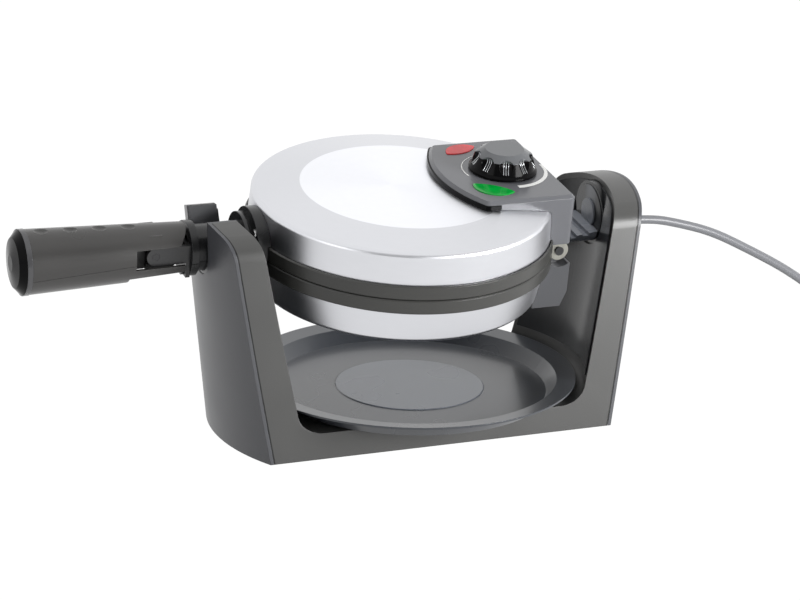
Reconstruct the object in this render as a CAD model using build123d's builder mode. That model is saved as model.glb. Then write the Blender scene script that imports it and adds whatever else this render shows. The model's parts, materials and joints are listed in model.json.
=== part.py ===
from build123d import *
import os
from math import cos, hypot, pi, radians, sin, tan

os.makedirs("parts", exist_ok=True)

# All sizes are in millimetres. The origin lies on the table, midway between
# the towers. X runs along the turning axis with the grip at -X, -Y is the front.

# Turning axis and the head's resting tilt
axis_height = 139.5
head_tilt = 8.0
head_offset = -11.7
head_pose = Location((0, 0, axis_height), (head_tilt, 0, 0))

# Clearances
seat_gap = 0.15
part_gap = 0.4
shaft_clearance = 0.08
journal_clearance = 0.3

# Stand
frame_lift = 2.0
frame_top = 164.5
base_top = 20.0
frame_wall = 2.5
half_depth = 66.0
depth_lean = 0.10
crown_radius = 115.0
shoulder_radius = 18.0
inner_floor_radius = 119.8
inner_lean = 0.126
outer_floor_radius = 140.6
outer_lean = 0.107
bowl_corner = 15.0
cover_wall = 2.4
cover_lip_depth = 5.0
cover_lip_wall = 1.6
panel_wall = 1.2
panel_gap = 0.3
panel_margin = 4.0
long_reach = 220.0

# Journals and their bearings
journal_radius = 16.0
saddle_wall = 2.2
slot_flare = 9.0
saddle_proud = 0.5
saddle_recess = 0.4
bush_wall = 2.4
bush_flange_radius = 25.5
bush_flange_wall = 1.5
bush_boss_end = 144.0
bush_boss_wall = 1.8
drum_radius = 20.0
drum_face_x = 134.2
drum_end_x = 149.0
drum_hollow_radius = 14.0
drum_hollow_depth = 9.0
clip_wall = 1.4
clip_depth = 1.2
clip_radius = 22.0
clip_x = 146.2

# Stand underside
plate_wall = 2.0
plate_recess = 0.4
foot_radius = 6.5
foot_x = 114.0
foot_y = 54.0
foot_stem_radius = 2.8
foot_stem_head = 3.6
foot_stem_cap = 1.2
post_radius = 4.0
post_x = 64.0
post_y = 44.0
base_screw_radius = 1.5
base_screw_head_radius = 3.0
base_screw_head = 1.4
base_screw_length = 12.0

# Drip tray
tray_floor_top = 23.6
tray_wall = 1.4
tray_floor_radius = 98.0
tray_step_radius = 105.0
tray_step_height = 9.2
tray_rim_radius = 116.9
tray_rim_rise = 1.8
tray_disc_radius = 52.1
tray_disc_height = 0.6
tray_foot_radius = 60.0
tray_foot_width = 3.0

# Head shells, rings and waffle plates. Depths are measured from the parting plane
parting = -3.8
parting_gap = 0.2
ring_radius = 107.7
ring_depth = 10.1
ring_seat_radius = 98.5
ring_ledge_radius = 90.5
ring_ledge_start = 3.5
ring_ledge_end = 6.6
ring_edge = 0.8
shell_skirt_radius = 106.0
shell_wall = 1.0
shell_start = 6.75
lid_rim_radius = 104.0
lid_rim_depth = 31.9
lid_disc_radius = 70.7
lid_disc_depth = 36.5
lid_rim_round = 3.5
base_rim_radius = 99.4
base_rim_depth = 34.4
base_disc_radius = 68.0
base_disc_depth = 38.7
base_rim_round = 4.0
plate_flange_radius = 98.0
plate_flange_start = 0.35
plate_flange_end = 3.35
plate_body_radius = 89.3
plate_body_depth = 17.0
plate_cavity_radius = 84.0
plate_cavity_depth = 13.0
plate_draft = 2.0
peg_pitch = 17.5
peg_base = 11.0
peg_height = 10.0
peg_taper = 12.0
peg_reach = 75.0
rib_width = 4.0
rib_drop = 1.2
element_radius = 3.3
element_ring_radius = 56.0
element_fit = 0.1
element_gap_angle = 40.0
element_boss_width = 11.0
element_boss_height = 3.0
terminal_length = 9.0
plate_screw_radius = 1.6
plate_screw_head_radius = 3.0
plate_screw_head = 1.8
plate_screw_circle = 94.3
plate_screw_tip = 1.2
chord_x = 81.5

# Lid hinge at the right end
hinge_x = 89.0
hinge_z = parting
hinge_pin_radius = 2.0
hinge_pin_head_radius = 3.2
hinge_pin_head = 1.2
lug_radius = 7.0
lower_lug_y = 37.5
lug_width = 5.6
lug_gap = 0.25
lug_web = 4.6
hinge_bar_bottom = 5.0
hinge_bar_top = 12.0
relief_radius = 11.0

# Control box on the lid
box_half_width = 52.0
box_right = 96.6
box_left = 15.5
box_left_corner = 30.0
box_top = 38.7
box_bevel = 2.2
box_wall = 2.2
box_corner = 4.0
box_leg_bottom = 2.4
box_fit = 0.12
trim_bottom = 33.0
trim_top = 36.2
trim_wall = 1.1
trim_reach = 40.0

# Lamps in the control box, each a leaf given by two tips and two mid-points
lamp_fit = 0.1
lamp_wall = 3.6
lamp_proud = 0.7
power_leaf = ((34.6, 32.3), (42.2, 45.0), (59.3, 42.1), (45.4, 31.5))
ready_leaf = ((32.2, -20.0), (37.0, -39.4), (55.8, -38.3), (46.2, -26.2))

# Knob and thermostat
knob_x = 63.0
knob_gap = 0.6
knob_skirt_radius = 24.0
knob_skirt_height = 3.0
knob_skirt_edge = 1.5
knob_foot_radius = 22.5
knob_shoulder_radius = 20.2
knob_shoulder_height = 11.2
knob_top_radius = 13.8
knob_height = 15.3
knob_wall = 2.4
pocket_count = 9
pocket_radius = 5.8
pocket_low = (25.0, 8.8)
pocket_high = (22.6, 11.4)
pocket_first = 12.0
spindle_radius = 3.0
spindle_flat = 0.8
spindle_bottom = 29.0
spindle_top = 48.5
thermostat_radius = 12.0
thermostat_bottom = 25.0
thermostat_bush_radius = 5.5
thermostat_bush_top = 40.2

# Lower hinge block and right-hand journal
block_top = -12.5
block_bottom = -45.2
block_half_width = 52.0
block_left = 71.5
block_right = 97.0
block_right_bottom = 92.5
block_bend = -34.0
block_wall = 2.5
neck_top_inner = -12.8
neck_top_outer = -6.4
neck_flange_bottom = -31.0
neck_flange_half_width = 24.0
neck_flange_wall = 3.0
neck_step_pitch = 9.0
neck_step_width = 4.6
neck_step_depth = 1.8
drum_disc_radius = 10.0
drum_disc_height = 1.2
block_cavity_top = -16.0
clip_opening = 9.0
wire_bore = 2.6
wire_bore_z = -16.4
flange_screw_y = 20.5
flange_screw_zs = (-17.5, -27.0)
flange_screw_radius = 1.5
flange_screw_head_radius = 2.8
flange_screw_head = 1.6

# Left-hand journal, collars and fork
journal_bore = 11.5
journal_left_end = -162.8
collar_radius = 19.0
collar_end = -168.0
hub_radius = 25.0
hub_outer_x = -123.5
hub_inner_x = -104.0
thrust_x = -127.5
thrust_wall = 2.5
thrust_radius = 22.0
rivet_radius = 2.0
rivet_circle = 20.5
rivet_angle = 40.0
rivet_length = 4.0
rivet_head_radius = 3.4
rivet_head = 1.3
fork_plate_wall = 3.0
fork_plate_bottom = -15.0
fork_screw_y = 8.0
fork_screw_z = -12.6
fork_screw_length = 4.5
arm_height = 12.6
arm_wall = 3.0
arm_outer_y = 14.8
pivot_x = -192.4
pivot_z = 2.0
pivot_radius = 2.5
pivot_pin_inner_y = 5.0
pivot_block_half = 5.0

# Grip
grip_inner_x = -168.8
grip_lower_x = -172.0
grip_end_x = -278.5
grip_inner_radius = 18.3
grip_outer_radius = 22.0
grip_wall = 2.2
grip_cut_lean = 36.8
grip_notch_x = -207.0
grip_notch_gap = 0.4
grip_seam_inner = (-206.0, -1.1)
grip_seam_end = (-284.0, -5.4)
grip_boss_radius = 4.6
grip_screw_xs = (-222.0, -262.0)
grip_screw_radius = 1.5
grip_screw_head_radius = 2.8
grip_screw_head = 1.8
grip_screw_seat = 14.0
grip_screw_tip = 6.0
dimple_count = 4
dimple_pitch = 20.0
dimple_start = -208.0
dimple_radius = 9.0
dimple_depth = 1.5
end_ring_wall = 3.6
end_ring_proud = 0.4
end_neck_radius = 18.0
end_spigot_length = 6.0
end_bevel_radius = 17.0
end_bevel_x = -286.6
end_tip_x = -288.4

# Mains cord
cord_radius = 3.2
cord_fit = 0.1
gland_height = 131.0
gland_inner_x = 150.0
gland_outer_x = 171.5
gland_radius = 6.0
gland_tip_radius = 4.1
gland_flange_radius = 9.0
gland_flange_wall = 1.6
coil_gap = 0.8
coil_outer_radius = 38.0
coil_flat_turns = 4
coil_top_turns = 3
coil_lift = 7.0
floor_gap = 0.05
cord_route = (
    (152.0, 0.0, gland_height), (182.0, 0.0, gland_height), (208.0, 0.4, 124.6),
    (236.0, 1.4, 115.5), (268.0, 3.2, 98.7), (300.0, 5.8, 80.8), (330.0, 9.0, 60.0),
    (354.0, 12.2, 38.0), (378.0, 15.4, 17.5), (402.0, 18.0, 6.0),
    (428.0, 19.4, cord_radius + floor_gap), (454.0, 19.4, cord_radius + floor_gap),
)
plug_radius = 18.5
plug_face = 15.0
plug_length = 42.0
plug_tail_radius = 5.5
plug_rise = 20.0
plug_taper = 6.0
plug_round = 2.0
pin_radius = 2.4
pin_length = 19.0
pin_spacing = 19.0


def inner_radius(z):
    """Radius of the towers' inner faces at the height z."""
    return inner_floor_radius + inner_lean * z


def outer_radius(z):
    """Radius of the towers' outer faces, under the covers, at the height z."""
    return outer_floor_radius + outer_lean * z


def side_outline(inset, bottom):
    """Arch that both towers show from the side, drawn in by inset."""
    reach = half_depth - inset * hypot(1, depth_lean)
    foot = reach - depth_lean * bottom
    head = reach - depth_lean * frame_top
    with BuildSketch(Plane.YZ) as outline:
        with BuildLine():
            Polyline(
                (foot, bottom), (head, frame_top), (-head, frame_top), (-foot, bottom), close=True
            )
        make_face()
        with Locations((0, frame_top - crown_radius)):
            Circle(crown_radius - inset, mode=Mode.INTERSECT)
        shoulders = outline.vertices().group_by(Axis.Y)[-1]
        fillet(shoulders, radius=shoulder_radius - inset)
    return outline.sketch


def arch_solid(inset, bottom):
    """Arch outline run along X through both towers."""
    with BuildPart() as arch:
        extrude(side_outline(inset, bottom), amount=long_reach, both=True)
    return arch.part


def cone_band(inner, outer, low, high):
    """Ring between two cones; inner and outer give a radius for each height."""
    with BuildPart() as band:
        with BuildSketch(Plane.XZ):
            Polygon(
                (inner(low), low), (outer(low), low), (outer(high), high), (inner(high), high),
                align=None,
            )
        revolve(axis=Axis.Z)
    return band.part


def bowl(grow):
    """Room between the towers with its rounded foot, enlarged by grow."""
    slope = hypot(1, inner_lean)
    floor = base_top - grow
    with BuildPart() as room:
        with BuildSketch(Plane.XZ) as section:
            Polygon(
                (0, floor), (inner_radius(floor) + grow * slope, floor),
                (inner_radius(long_reach) + grow * slope, long_reach), (0, long_reach),
                align=None,
            )
            corner = section.vertices().group_by(Axis.Y)[0].sort_by(Axis.X)[-1]
            fillet(corner, radius=bowl_corner + grow)
        revolve(axis=Axis.Z)
    return room.part


def slot_face(radius):
    """U-shaped outline on the YZ plane, open and flared towards the top."""
    flare = radians(slot_flare)
    rise = frame_top - axis_height + 10
    touch = (radius * cos(flare), -radius * sin(flare))
    top = (radius / cos(flare) + rise * tan(flare), rise)
    with BuildSketch(Plane.YZ.offset(-long_reach)) as outline:
        with BuildLine():
            Line((-touch[0], axis_height + touch[1]), (-top[0], axis_height + top[1]))
            Line((-top[0], axis_height + top[1]), (top[0], axis_height + top[1]))
            Line((top[0], axis_height + top[1]), (touch[0], axis_height + touch[1]))
            ThreePointArc(
                (touch[0], axis_height + touch[1]),
                (0, axis_height - radius),
                (-touch[0], axis_height + touch[1]),
            )
        make_face()
    return outline.sketch


def slot_solid(radius):
    """Slot outline run along X through the left tower."""
    with BuildPart() as slot:
        extrude(slot_face(radius), amount=long_reach - 100)
    return slot.part


def lathe(points):
    """Solid turned about the head's centre line; points give radius and height."""
    with BuildPart() as turned:
        with BuildSketch(Plane((head_offset, 0, 0), x_dir=(1, 0, 0), z_dir=(0, -1, 0))):
            Polygon(*points, align=None)
        revolve(axis=Axis((head_offset, 0, 0), (0, 0, 1)))
    return turned.part


def rod(start, end, radius):
    """Round bar between two points."""
    axis = Vector(*end) - Vector(*start)
    with BuildPart() as bar:
        with BuildSketch(Plane(start, z_dir=axis)):
            Circle(radius)
        extrude(amount=axis.length)
    return bar.part


def block(low, high):
    """Box between two opposite corners."""
    size = Vector(*high) - Vector(*low)
    with BuildPart(Plane(low)) as box:
        Box(size.X, size.Y, size.Z, align=(Align.MIN, Align.MIN, Align.MIN))
    return box.part


def side_prism(points, low_y, high_y):
    """Outline on the XZ plane run along Y from low_y to high_y."""
    with BuildPart() as prism:
        with BuildSketch(Plane.XZ.offset(-high_y)):
            Polygon(*points, align=None)
        extrude(amount=high_y - low_y)
    return prism.part


def mirrored(part):
    """The part together with its reflection in the XZ plane."""
    with BuildPart() as pair:
        add(part)
        mirror(about=Plane.XZ)
    return pair.part


# Stand frame: two towers and the base between them, one moulding
saddle_radius = journal_radius + journal_clearance + saddle_wall
slot_radius = saddle_radius + seat_gap
bush_radius = drum_radius + shaft_clearance + bush_wall
bush_hole_radius = bush_radius + seat_gap
plate_top = frame_lift + plate_recess + plate_wall

with BuildPart() as frame_room:
    add(arch_solid(frame_wall, -10))
    add(bowl(frame_wall), mode=Mode.SUBTRACT)

with BuildPart() as stand_frame:
    add(arch_solid(0, frame_lift))
    add(cone_band(lambda z: 0, outer_radius, -10, long_reach), mode=Mode.INTERSECT)
    add(frame_room.part, mode=Mode.SUBTRACT)
    with BuildSketch(Plane.YZ.offset(bush_boss_end)):
        with Locations((0, axis_height)):
            Circle(bush_hole_radius + bush_boss_wall)
    extrude(amount=-bush_boss_end / 8)
    add(bowl(0), mode=Mode.SUBTRACT)
    with BuildSketch(Plane.XY.offset(base_top - frame_wall)):
        with GridLocations(2 * post_x, 2 * post_y, 2, 2):
            Circle(post_radius)
    extrude(amount=plate_top - base_top + frame_wall)
    with BuildSketch(Plane.XY.offset(plate_top)):
        with GridLocations(2 * post_x, 2 * post_y, 2, 2):
            Circle(base_screw_radius + shaft_clearance)
    extrude(amount=base_screw_length, mode=Mode.SUBTRACT)
    with BuildSketch(Plane.YZ.offset(bush_boss_end)):
        with Locations((0, axis_height)):
            Circle(bush_hole_radius)
    extrude(amount=-bush_boss_end / 4, mode=Mode.SUBTRACT)
    add(slot_solid(slot_radius), mode=Mode.SUBTRACT)


def panel_blank():
    """Thin curved panels on the inner faces of both towers."""
    foot = base_top + bowl_corner + panel_margin
    with BuildPart() as blank:
        add(arch_solid(panel_margin, foot))
        add(
            cone_band(
                lambda z: inner_radius(z) - panel_gap - panel_wall,
                lambda z: inner_radius(z) - panel_gap,
                foot, long_reach,
            ),
            mode=Mode.INTERSECT,
        )
    return blank.part


# Glossy panels on the towers' inner faces
panels = panel_blank()

with BuildPart() as right_inner_panel:
    add(panels)
    split(bisect_by=Plane.YZ, keep=Keep.TOP)
    with BuildSketch(Plane.YZ):
        with Locations((0, axis_height)):
            Circle(bush_radius + part_gap)
    extrude(amount=long_reach, mode=Mode.SUBTRACT)

with BuildPart() as left_inner_panel:
    add(panels)
    split(bisect_by=Plane.YZ, keep=Keep.BOTTOM)
    add(slot_solid(slot_radius + part_gap), mode=Mode.SUBTRACT)


def cover_blank():
    """Outer covers of both towers, each a curved plate with a lip inside the frame."""
    def seat(z):
        return outer_radius(z) + seat_gap

    with BuildPart() as lip:
        add(arch_solid(frame_wall + seat_gap, plate_top + part_gap))
        add(arch_solid(frame_wall + seat_gap + cover_lip_wall, -10), mode=Mode.SUBTRACT)
        add(
            cone_band(lambda z: outer_radius(z) - cover_lip_depth, seat, -10, long_reach),
            mode=Mode.INTERSECT,
        )
    with BuildPart() as blank:
        add(arch_solid(0, frame_lift))
        add(
            cone_band(seat, lambda z: outer_radius(z) + cover_wall, -10, long_reach),
            mode=Mode.INTERSECT,
        )
        add(lip.part)
    return blank.part


# Outer covers
covers = cover_blank()

with BuildPart() as right_cover:
    add(covers)
    split(bisect_by=Plane.YZ, keep=Keep.TOP)
    with BuildSketch(Plane.YZ.offset(100)):
        with Locations((0, gland_height)):
            Circle(gland_radius + seat_gap)
    extrude(amount=long_reach, mode=Mode.SUBTRACT)

with BuildPart() as left_cover:
    add(covers)
    split(bisect_by=Plane.YZ, keep=Keep.BOTTOM)
    add(slot_solid(slot_radius), mode=Mode.SUBTRACT)

# Bearing saddle that lines the left tower's slot
with BuildPart() as left_saddle:
    add(slot_solid(saddle_radius))
    add(slot_solid(journal_radius + journal_clearance), mode=Mode.SUBTRACT)
    add(
        cone_band(
            lambda z: inner_radius(z) - saddle_proud,
            lambda z: outer_radius(z) + cover_wall - saddle_recess,
            -10, long_reach,
        ),
        mode=Mode.INTERSECT,
    )
    add(arch_solid(saddle_recess, frame_lift), mode=Mode.INTERSECT)

# Bush for the right-hand journal, put in from the outside up to its flange
with BuildPart() as right_bush:
    add(rod(
        (drum_face_x + part_gap, 0, axis_height),
        (bush_boss_end + seat_gap + bush_flange_wall, 0, axis_height), bush_radius,
    ))
    add(rod(
        (bush_boss_end + seat_gap, 0, axis_height),
        (bush_boss_end + seat_gap + bush_flange_wall, 0, axis_height), bush_flange_radius,
    ))
    add(rod(
        (drum_face_x - 5, 0, axis_height), (drum_end_x, 0, axis_height),
        drum_radius + shaft_clearance,
    ), mode=Mode.SUBTRACT)
    add(arch_solid(frame_wall + floor_gap, 0), mode=Mode.INTERSECT)

# Base plate with holes for the feet and the screws
with BuildPart() as base_plate:
    add(arch_solid(frame_wall + seat_gap, frame_lift + plate_recess))
    add(block(
        (-long_reach, -long_reach, frame_lift + plate_recess), (long_reach, long_reach, plate_top)
    ), mode=Mode.INTERSECT)
    add(cone_band(lambda z: 0, outer_radius, -10, long_reach), mode=Mode.INTERSECT)
    with BuildSketch(Plane.XY.offset(plate_top)):
        with GridLocations(2 * foot_x, 2 * foot_y, 2, 2):
            Circle(foot_stem_radius + shaft_clearance)
        with GridLocations(2 * post_x, 2 * post_y, 2, 2):
            Circle(base_screw_radius + shaft_clearance)
    extrude(amount=-plate_top, mode=Mode.SUBTRACT)

# Rubber feet with mushroom stems
foot_seat = frame_lift + plate_recess - floor_gap
with BuildPart() as rubber_feet:
    for z, radius, height in (
        (0, foot_radius, foot_seat),
        (foot_seat, foot_stem_radius, plate_wall + 2 * floor_gap),
        (foot_seat + plate_wall + 2 * floor_gap, foot_stem_head, foot_stem_cap),
    ):
        with BuildSketch(Plane.XY.offset(z)):
            with GridLocations(2 * foot_x, 2 * foot_y, 2, 2):
                Circle(radius)
        extrude(amount=height)

# Base screws
with BuildPart() as base_screws:
    for z, radius, height in (
        (foot_seat, base_screw_head_radius, -base_screw_head),
        (foot_seat, base_screw_radius, base_screw_length),
    ):
        with BuildSketch(Plane.XY.offset(z)):
            with GridLocations(2 * post_x, 2 * post_y, 2, 2):
                Circle(radius)
        extrude(amount=height)

# Drip tray: pressed dish with a wide rim, a raised middle and a ring foot
tray_bottom = tray_floor_top - tray_wall
with BuildPart() as drip_tray:
    with BuildSketch(Plane.XZ):
        Polygon(
            (0, tray_bottom), (tray_floor_radius, tray_bottom),
            (tray_step_radius, tray_bottom + tray_step_height),
            (tray_rim_radius, tray_bottom + tray_step_height + tray_rim_rise),
            (tray_rim_radius, tray_floor_top + tray_step_height + tray_rim_rise),
            (tray_step_radius - tray_wall, tray_floor_top + tray_step_height),
            (tray_floor_radius - tray_wall, tray_floor_top),
            (tray_disc_radius + tray_disc_height, tray_floor_top),
            (tray_disc_radius, tray_floor_top + tray_disc_height),
            (0, tray_floor_top + tray_disc_height),
            align=None,
        )
    revolve(axis=Axis.Z)
    with BuildSketch(Plane.XY.offset(tray_bottom)):
        Circle(tray_foot_radius)
        Circle(tray_foot_radius - tray_foot_width, mode=Mode.SUBTRACT)
    extrude(amount=base_top + floor_gap - tray_bottom)


def level(depth, side):
    """Height of a point that lies depth away from the parting, side +1 up or -1 down."""
    return parting + side * depth


def turned(points, side):
    """Solid turned about the head's centre line from radii and depths."""
    return lathe([(radius, level(depth, side)) for radius, depth in points])


def chord_cut(x):
    """Block that takes away everything to the right of x."""
    return block((x, -long_reach, -long_reach), (long_reach, long_reach, long_reach))


def screw_spots(count, radius, first):
    """Points of a screw circle about the head's centre line."""
    step = 2 * pi / count
    return [
        (head_offset + radius * cos(first + step * i), radius * sin(first + step * i))
        for i in range(count)
    ]


plate_screw_spots = screw_spots(4, plate_screw_circle, pi / 4)


def ring_part(side):
    """Plastic ring that carries the shell on one side and the plate on the other."""
    with BuildPart() as ring:
        add(turned((
            (ring_seat_radius, parting_gap), (ring_radius - ring_edge, parting_gap),
            (ring_radius, parting_gap + ring_edge), (ring_radius, ring_depth - ring_edge),
            (ring_radius - ring_edge, ring_depth),
            (shell_skirt_radius + seat_gap, ring_depth),
            (shell_skirt_radius + seat_gap, ring_ledge_end), (ring_ledge_radius, ring_ledge_end),
            (ring_ledge_radius, ring_ledge_start), (ring_seat_radius, ring_ledge_start),
        ), side))
        add(chord_cut(chord_x), mode=Mode.SUBTRACT)
        for x, y in plate_screw_spots:
            add(rod(
                (x, y, level(0, side)), (x, y, level(ring_depth, side)),
                plate_screw_radius + shaft_clearance,
            ), mode=Mode.SUBTRACT)
    return ring.part


def body_outline(rim_radius, rim_depth, disc_radius, disc_depth, rim_round, inset):
    """Section of a shell, drawn in by inset, from the centre line to the skirt."""
    with BuildSketch() as section:
        Polygon(
            (0, 0), (shell_skirt_radius - inset, 0), (rim_radius - inset, rim_depth - inset),
            (disc_radius, disc_depth - inset), (0, disc_depth - inset), align=None,
        )
        rim = section.vertices().sort_by_distance((rim_radius - inset, rim_depth - inset))[0]
        fillet(rim, radius=rim_round - inset / 2)
        with Locations((0, shell_start / 2)):
            Rectangle(4 * shell_skirt_radius, shell_start, mode=Mode.SUBTRACT)
    return section.sketch


def body_solid(sizes, side, inset):
    """Solid bounded by one shell's surface, drawn in by inset."""
    plane = Plane(
        (head_offset, 0, parting), x_dir=(1, 0, 0), z_dir=(0, -1, 0) if side > 0 else (0, 1, 0)
    )
    with BuildPart() as body:
        with BuildSketch(plane):
            add(body_outline(*sizes, inset))
        revolve(axis=Axis((head_offset, 0, 0), (0, 0, 1)))
    return body.part


lid_sizes = (lid_rim_radius, lid_rim_depth, lid_disc_radius, lid_disc_depth, lid_rim_round)
base_sizes = (base_rim_radius, base_rim_depth, base_disc_radius, base_disc_depth, base_rim_round)


def shell_part(sizes, side):
    """Thin spun shell."""
    with BuildPart() as shell:
        add(body_solid(sizes, side, 0))
        add(body_solid(sizes, side, shell_wall), mode=Mode.SUBTRACT)
        add(chord_cut(chord_x), mode=Mode.SUBTRACT)
    return shell.part


def peg_spots():
    """Centres of the pegs, four equal quarters of a square grid."""
    reach = int(plate_cavity_radius / peg_pitch) + 1
    places = [(i + 0.5) * peg_pitch + (rib_width / 2 if i >= 0 else -rib_width / 2)
              for i in range(-reach, reach)]
    return [
        (x, y) for x in places for y in places if hypot(x, y) < peg_reach
    ]


def plate_part(side):
    """Waffle plate: a dish with tapered pegs, quarter ribs and an element channel."""
    floor = level(plate_cavity_depth, side)
    inside = Plane((head_offset, 0, floor), x_dir=(1, 0, 0), z_dir=(0, 0, -side))
    lean = plate_body_depth * tan(radians(plate_draft))
    with BuildPart() as plate:
        add(turned((
            (0, plate_flange_start), (plate_flange_radius, plate_flange_start),
            (plate_flange_radius, plate_flange_end), (plate_body_radius, plate_flange_end),
            (plate_body_radius - lean, plate_body_depth), (0, plate_body_depth),
        ), side))
        add(turned((
            (0, 0), (plate_cavity_radius, 0),
            (plate_cavity_radius - lean, plate_cavity_depth), (0, plate_cavity_depth),
        ), side), mode=Mode.SUBTRACT)
        add(turned((
            (element_ring_radius - element_boss_width / 2, plate_body_depth - 1),
            (element_ring_radius + element_boss_width / 2, plate_body_depth - 1),
            (element_ring_radius + element_boss_width / 2, plate_body_depth + element_boss_height),
            (element_ring_radius - element_boss_width / 2, plate_body_depth + element_boss_height),
        ), side))
        with BuildPart(mode=Mode.PRIVATE) as channel:
            with Locations((head_offset, 0, level(plate_body_depth + element_boss_height, side))):
                Torus(element_ring_radius, element_radius + element_fit)
        add(channel.part, mode=Mode.SUBTRACT)
        channel_floor = plate_body_depth + element_boss_height - element_radius - element_fit
        half_gap = element_ring_radius * sin(radians(element_gap_angle / 2))
        low, high = sorted((level(channel_floor, side), level(2 * plate_body_depth, side)))
        add(block(
            (head_offset, -half_gap, low), (head_offset + plate_body_radius, half_gap, high)
        ), mode=Mode.SUBTRACT)
        with BuildSketch(inside):
            with Locations(*peg_spots()):
                Rectangle(peg_base, peg_base)
        extrude(amount=peg_height, taper=peg_taper)
        with BuildSketch(inside):
            Rectangle(2 * plate_cavity_radius - rib_width, rib_width)
            Rectangle(rib_width, 2 * plate_cavity_radius - rib_width)
        extrude(amount=plate_cavity_depth - rib_drop)
        for x, y in plate_screw_spots:
            add(rod(
                (x, y, level(0, side)), (x, y, level(plate_body_depth, side)),
                plate_screw_radius + shaft_clearance,
            ), mode=Mode.SUBTRACT)
        add(chord_cut(chord_x - part_gap), mode=Mode.SUBTRACT)
    return plate.part


def element_part(side):
    """Heating element: most of a ring with two straight terminals."""
    depth = level(plate_body_depth + element_boss_height, side)
    half_gap = element_gap_angle / 2
    middle = (head_offset, 0, depth)
    with BuildPart() as element:
        with BuildLine() as path:
            arc = CenterArc(middle, element_ring_radius, half_gap, 360 - element_gap_angle)
            Line(arc @ 1, arc @ 1 + (arc % 1) * terminal_length)
            Line(arc @ 0 - (arc % 0) * terminal_length, arc @ 0)
        with BuildSketch(Plane(arc @ 0, z_dir=arc % 0)):
            Circle(element_radius)
        sweep(path=arc)
        for end, way in ((arc @ 1, arc % 1), (arc @ 0, -(arc % 0))):
            with BuildSketch(Plane(end, z_dir=way)):
                Circle(element_radius)
            extrude(amount=terminal_length)
    return element.part


def plate_screw_part(side):
    """Four screws that hold a plate against its ring."""
    with BuildPart() as screws:
        for x, y in plate_screw_spots:
            add(rod(
                (x, y, level(plate_screw_tip, side)), (x, y, level(ring_ledge_end, side)),
                plate_screw_radius,
            ))
            add(rod(
                (x, y, level(ring_ledge_end + floor_gap, side)),
                (x, y, level(ring_ledge_end + plate_screw_head, side)),
                plate_screw_head_radius,
            ))
            add(rod(
                (x, y, level(ring_ledge_end, side)),
                (x, y, level(ring_ledge_end + floor_gap, side)), plate_screw_radius,
            ))
    return screws.part


upper_ring = ring_part(1)
lower_ring = ring_part(-1)
lower_shell = shell_part(base_sizes, -1)
upper_plate = plate_part(1)
lower_plate = plate_part(-1)
upper_element = element_part(1)
lower_element = element_part(-1)
upper_plate_screws = plate_screw_part(1)
lower_plate_screws = plate_screw_part(-1)

# Upper shell with a hole for the thermostat
with BuildPart() as upper_shell:
    add(shell_part(lid_sizes, 1))
    add(rod(
        (knob_x, 0, 0), (knob_x, 0, box_top), thermostat_radius + part_gap
    ), mode=Mode.SUBTRACT)


def head_envelope(fit):
    """Closed outer shape of rings and shells, cut at the hinge end, enlarged by fit."""
    with BuildPart() as envelope:
        for sizes, side in ((lid_sizes, 1), (base_sizes, -1)):
            add(body_solid(sizes, side, -fit))
            add(turned((
                (0, -fit), (ring_radius + fit, -fit), (ring_radius + fit, ring_depth + fit),
                (0, ring_depth + fit),
            ), side))
        add(chord_cut(chord_x + fit), mode=Mode.SUBTRACT)
    return envelope.part


envelope = head_envelope(box_fit)


def leaf_sketch(leaf, grow):
    """Leaf-shaped outline of a lamp, enlarged by grow."""
    tip, outer, other_tip, inner = leaf
    with BuildSketch() as outline:
        with BuildLine():
            ThreePointArc(tip, outer, other_tip)
            ThreePointArc(other_tip, inner, tip)
        make_face()
        if grow:
            offset(amount=grow, kind=Kind.INTERSECTION)
    return outline.sketch


def box_outline(inset):
    """Plan of the control box with its curved left side, drawn in by inset."""
    with BuildSketch() as outline:
        with BuildLine():
            ThreePointArc(
                (box_left_corner, -box_half_width), (box_left, 0),
                (box_left_corner, box_half_width),
            )
            Polyline(
                (box_left_corner, box_half_width), (box_right, box_half_width),
                (box_right, -box_half_width), (box_left_corner, -box_half_width),
            )
        make_face()
        fillet(outline.vertices(), radius=box_corner)
        if inset:
            offset(amount=-inset, kind=Kind.INTERSECTION)
    return outline.sketch


# Control box: hollow, open below, fitted over the lid and round its hinge end
with BuildPart() as control_box:
    with BuildSketch(Plane.XY.offset(box_leg_bottom)):
        add(box_outline(0))
    extrude(amount=box_top - box_leg_bottom)
    chamfer(control_box.faces().sort_by(Axis.Z)[-1].edges(), length=box_bevel)
    add(envelope, mode=Mode.SUBTRACT)
    with BuildSketch(Plane.XY.offset(box_leg_bottom)):
        add(box_outline(box_wall))
    extrude(amount=box_top - box_wall - box_leg_bottom, mode=Mode.SUBTRACT)
    for leaf in (power_leaf, ready_leaf):
        with BuildSketch(Plane.XY.offset(box_top)):
            add(leaf_sketch(leaf, lamp_fit))
        extrude(amount=-2 * box_wall, mode=Mode.SUBTRACT)
    add(rod(
        (knob_x, 0, 0), (knob_x, 0, box_top), thermostat_bush_radius + shaft_clearance
    ), mode=Mode.SUBTRACT)

# Glossy band round the curved left side of the control box
with BuildPart() as control_trim:
    with BuildSketch(Plane.XY.offset(trim_bottom)):
        add(box_outline(-trim_wall - floor_gap))
        add(box_outline(-floor_gap), mode=Mode.SUBTRACT)
        with Locations((trim_reach + long_reach, 0)):
            Rectangle(2 * long_reach, 2 * long_reach, mode=Mode.SUBTRACT)
    extrude(amount=trim_top - trim_bottom)


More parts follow.
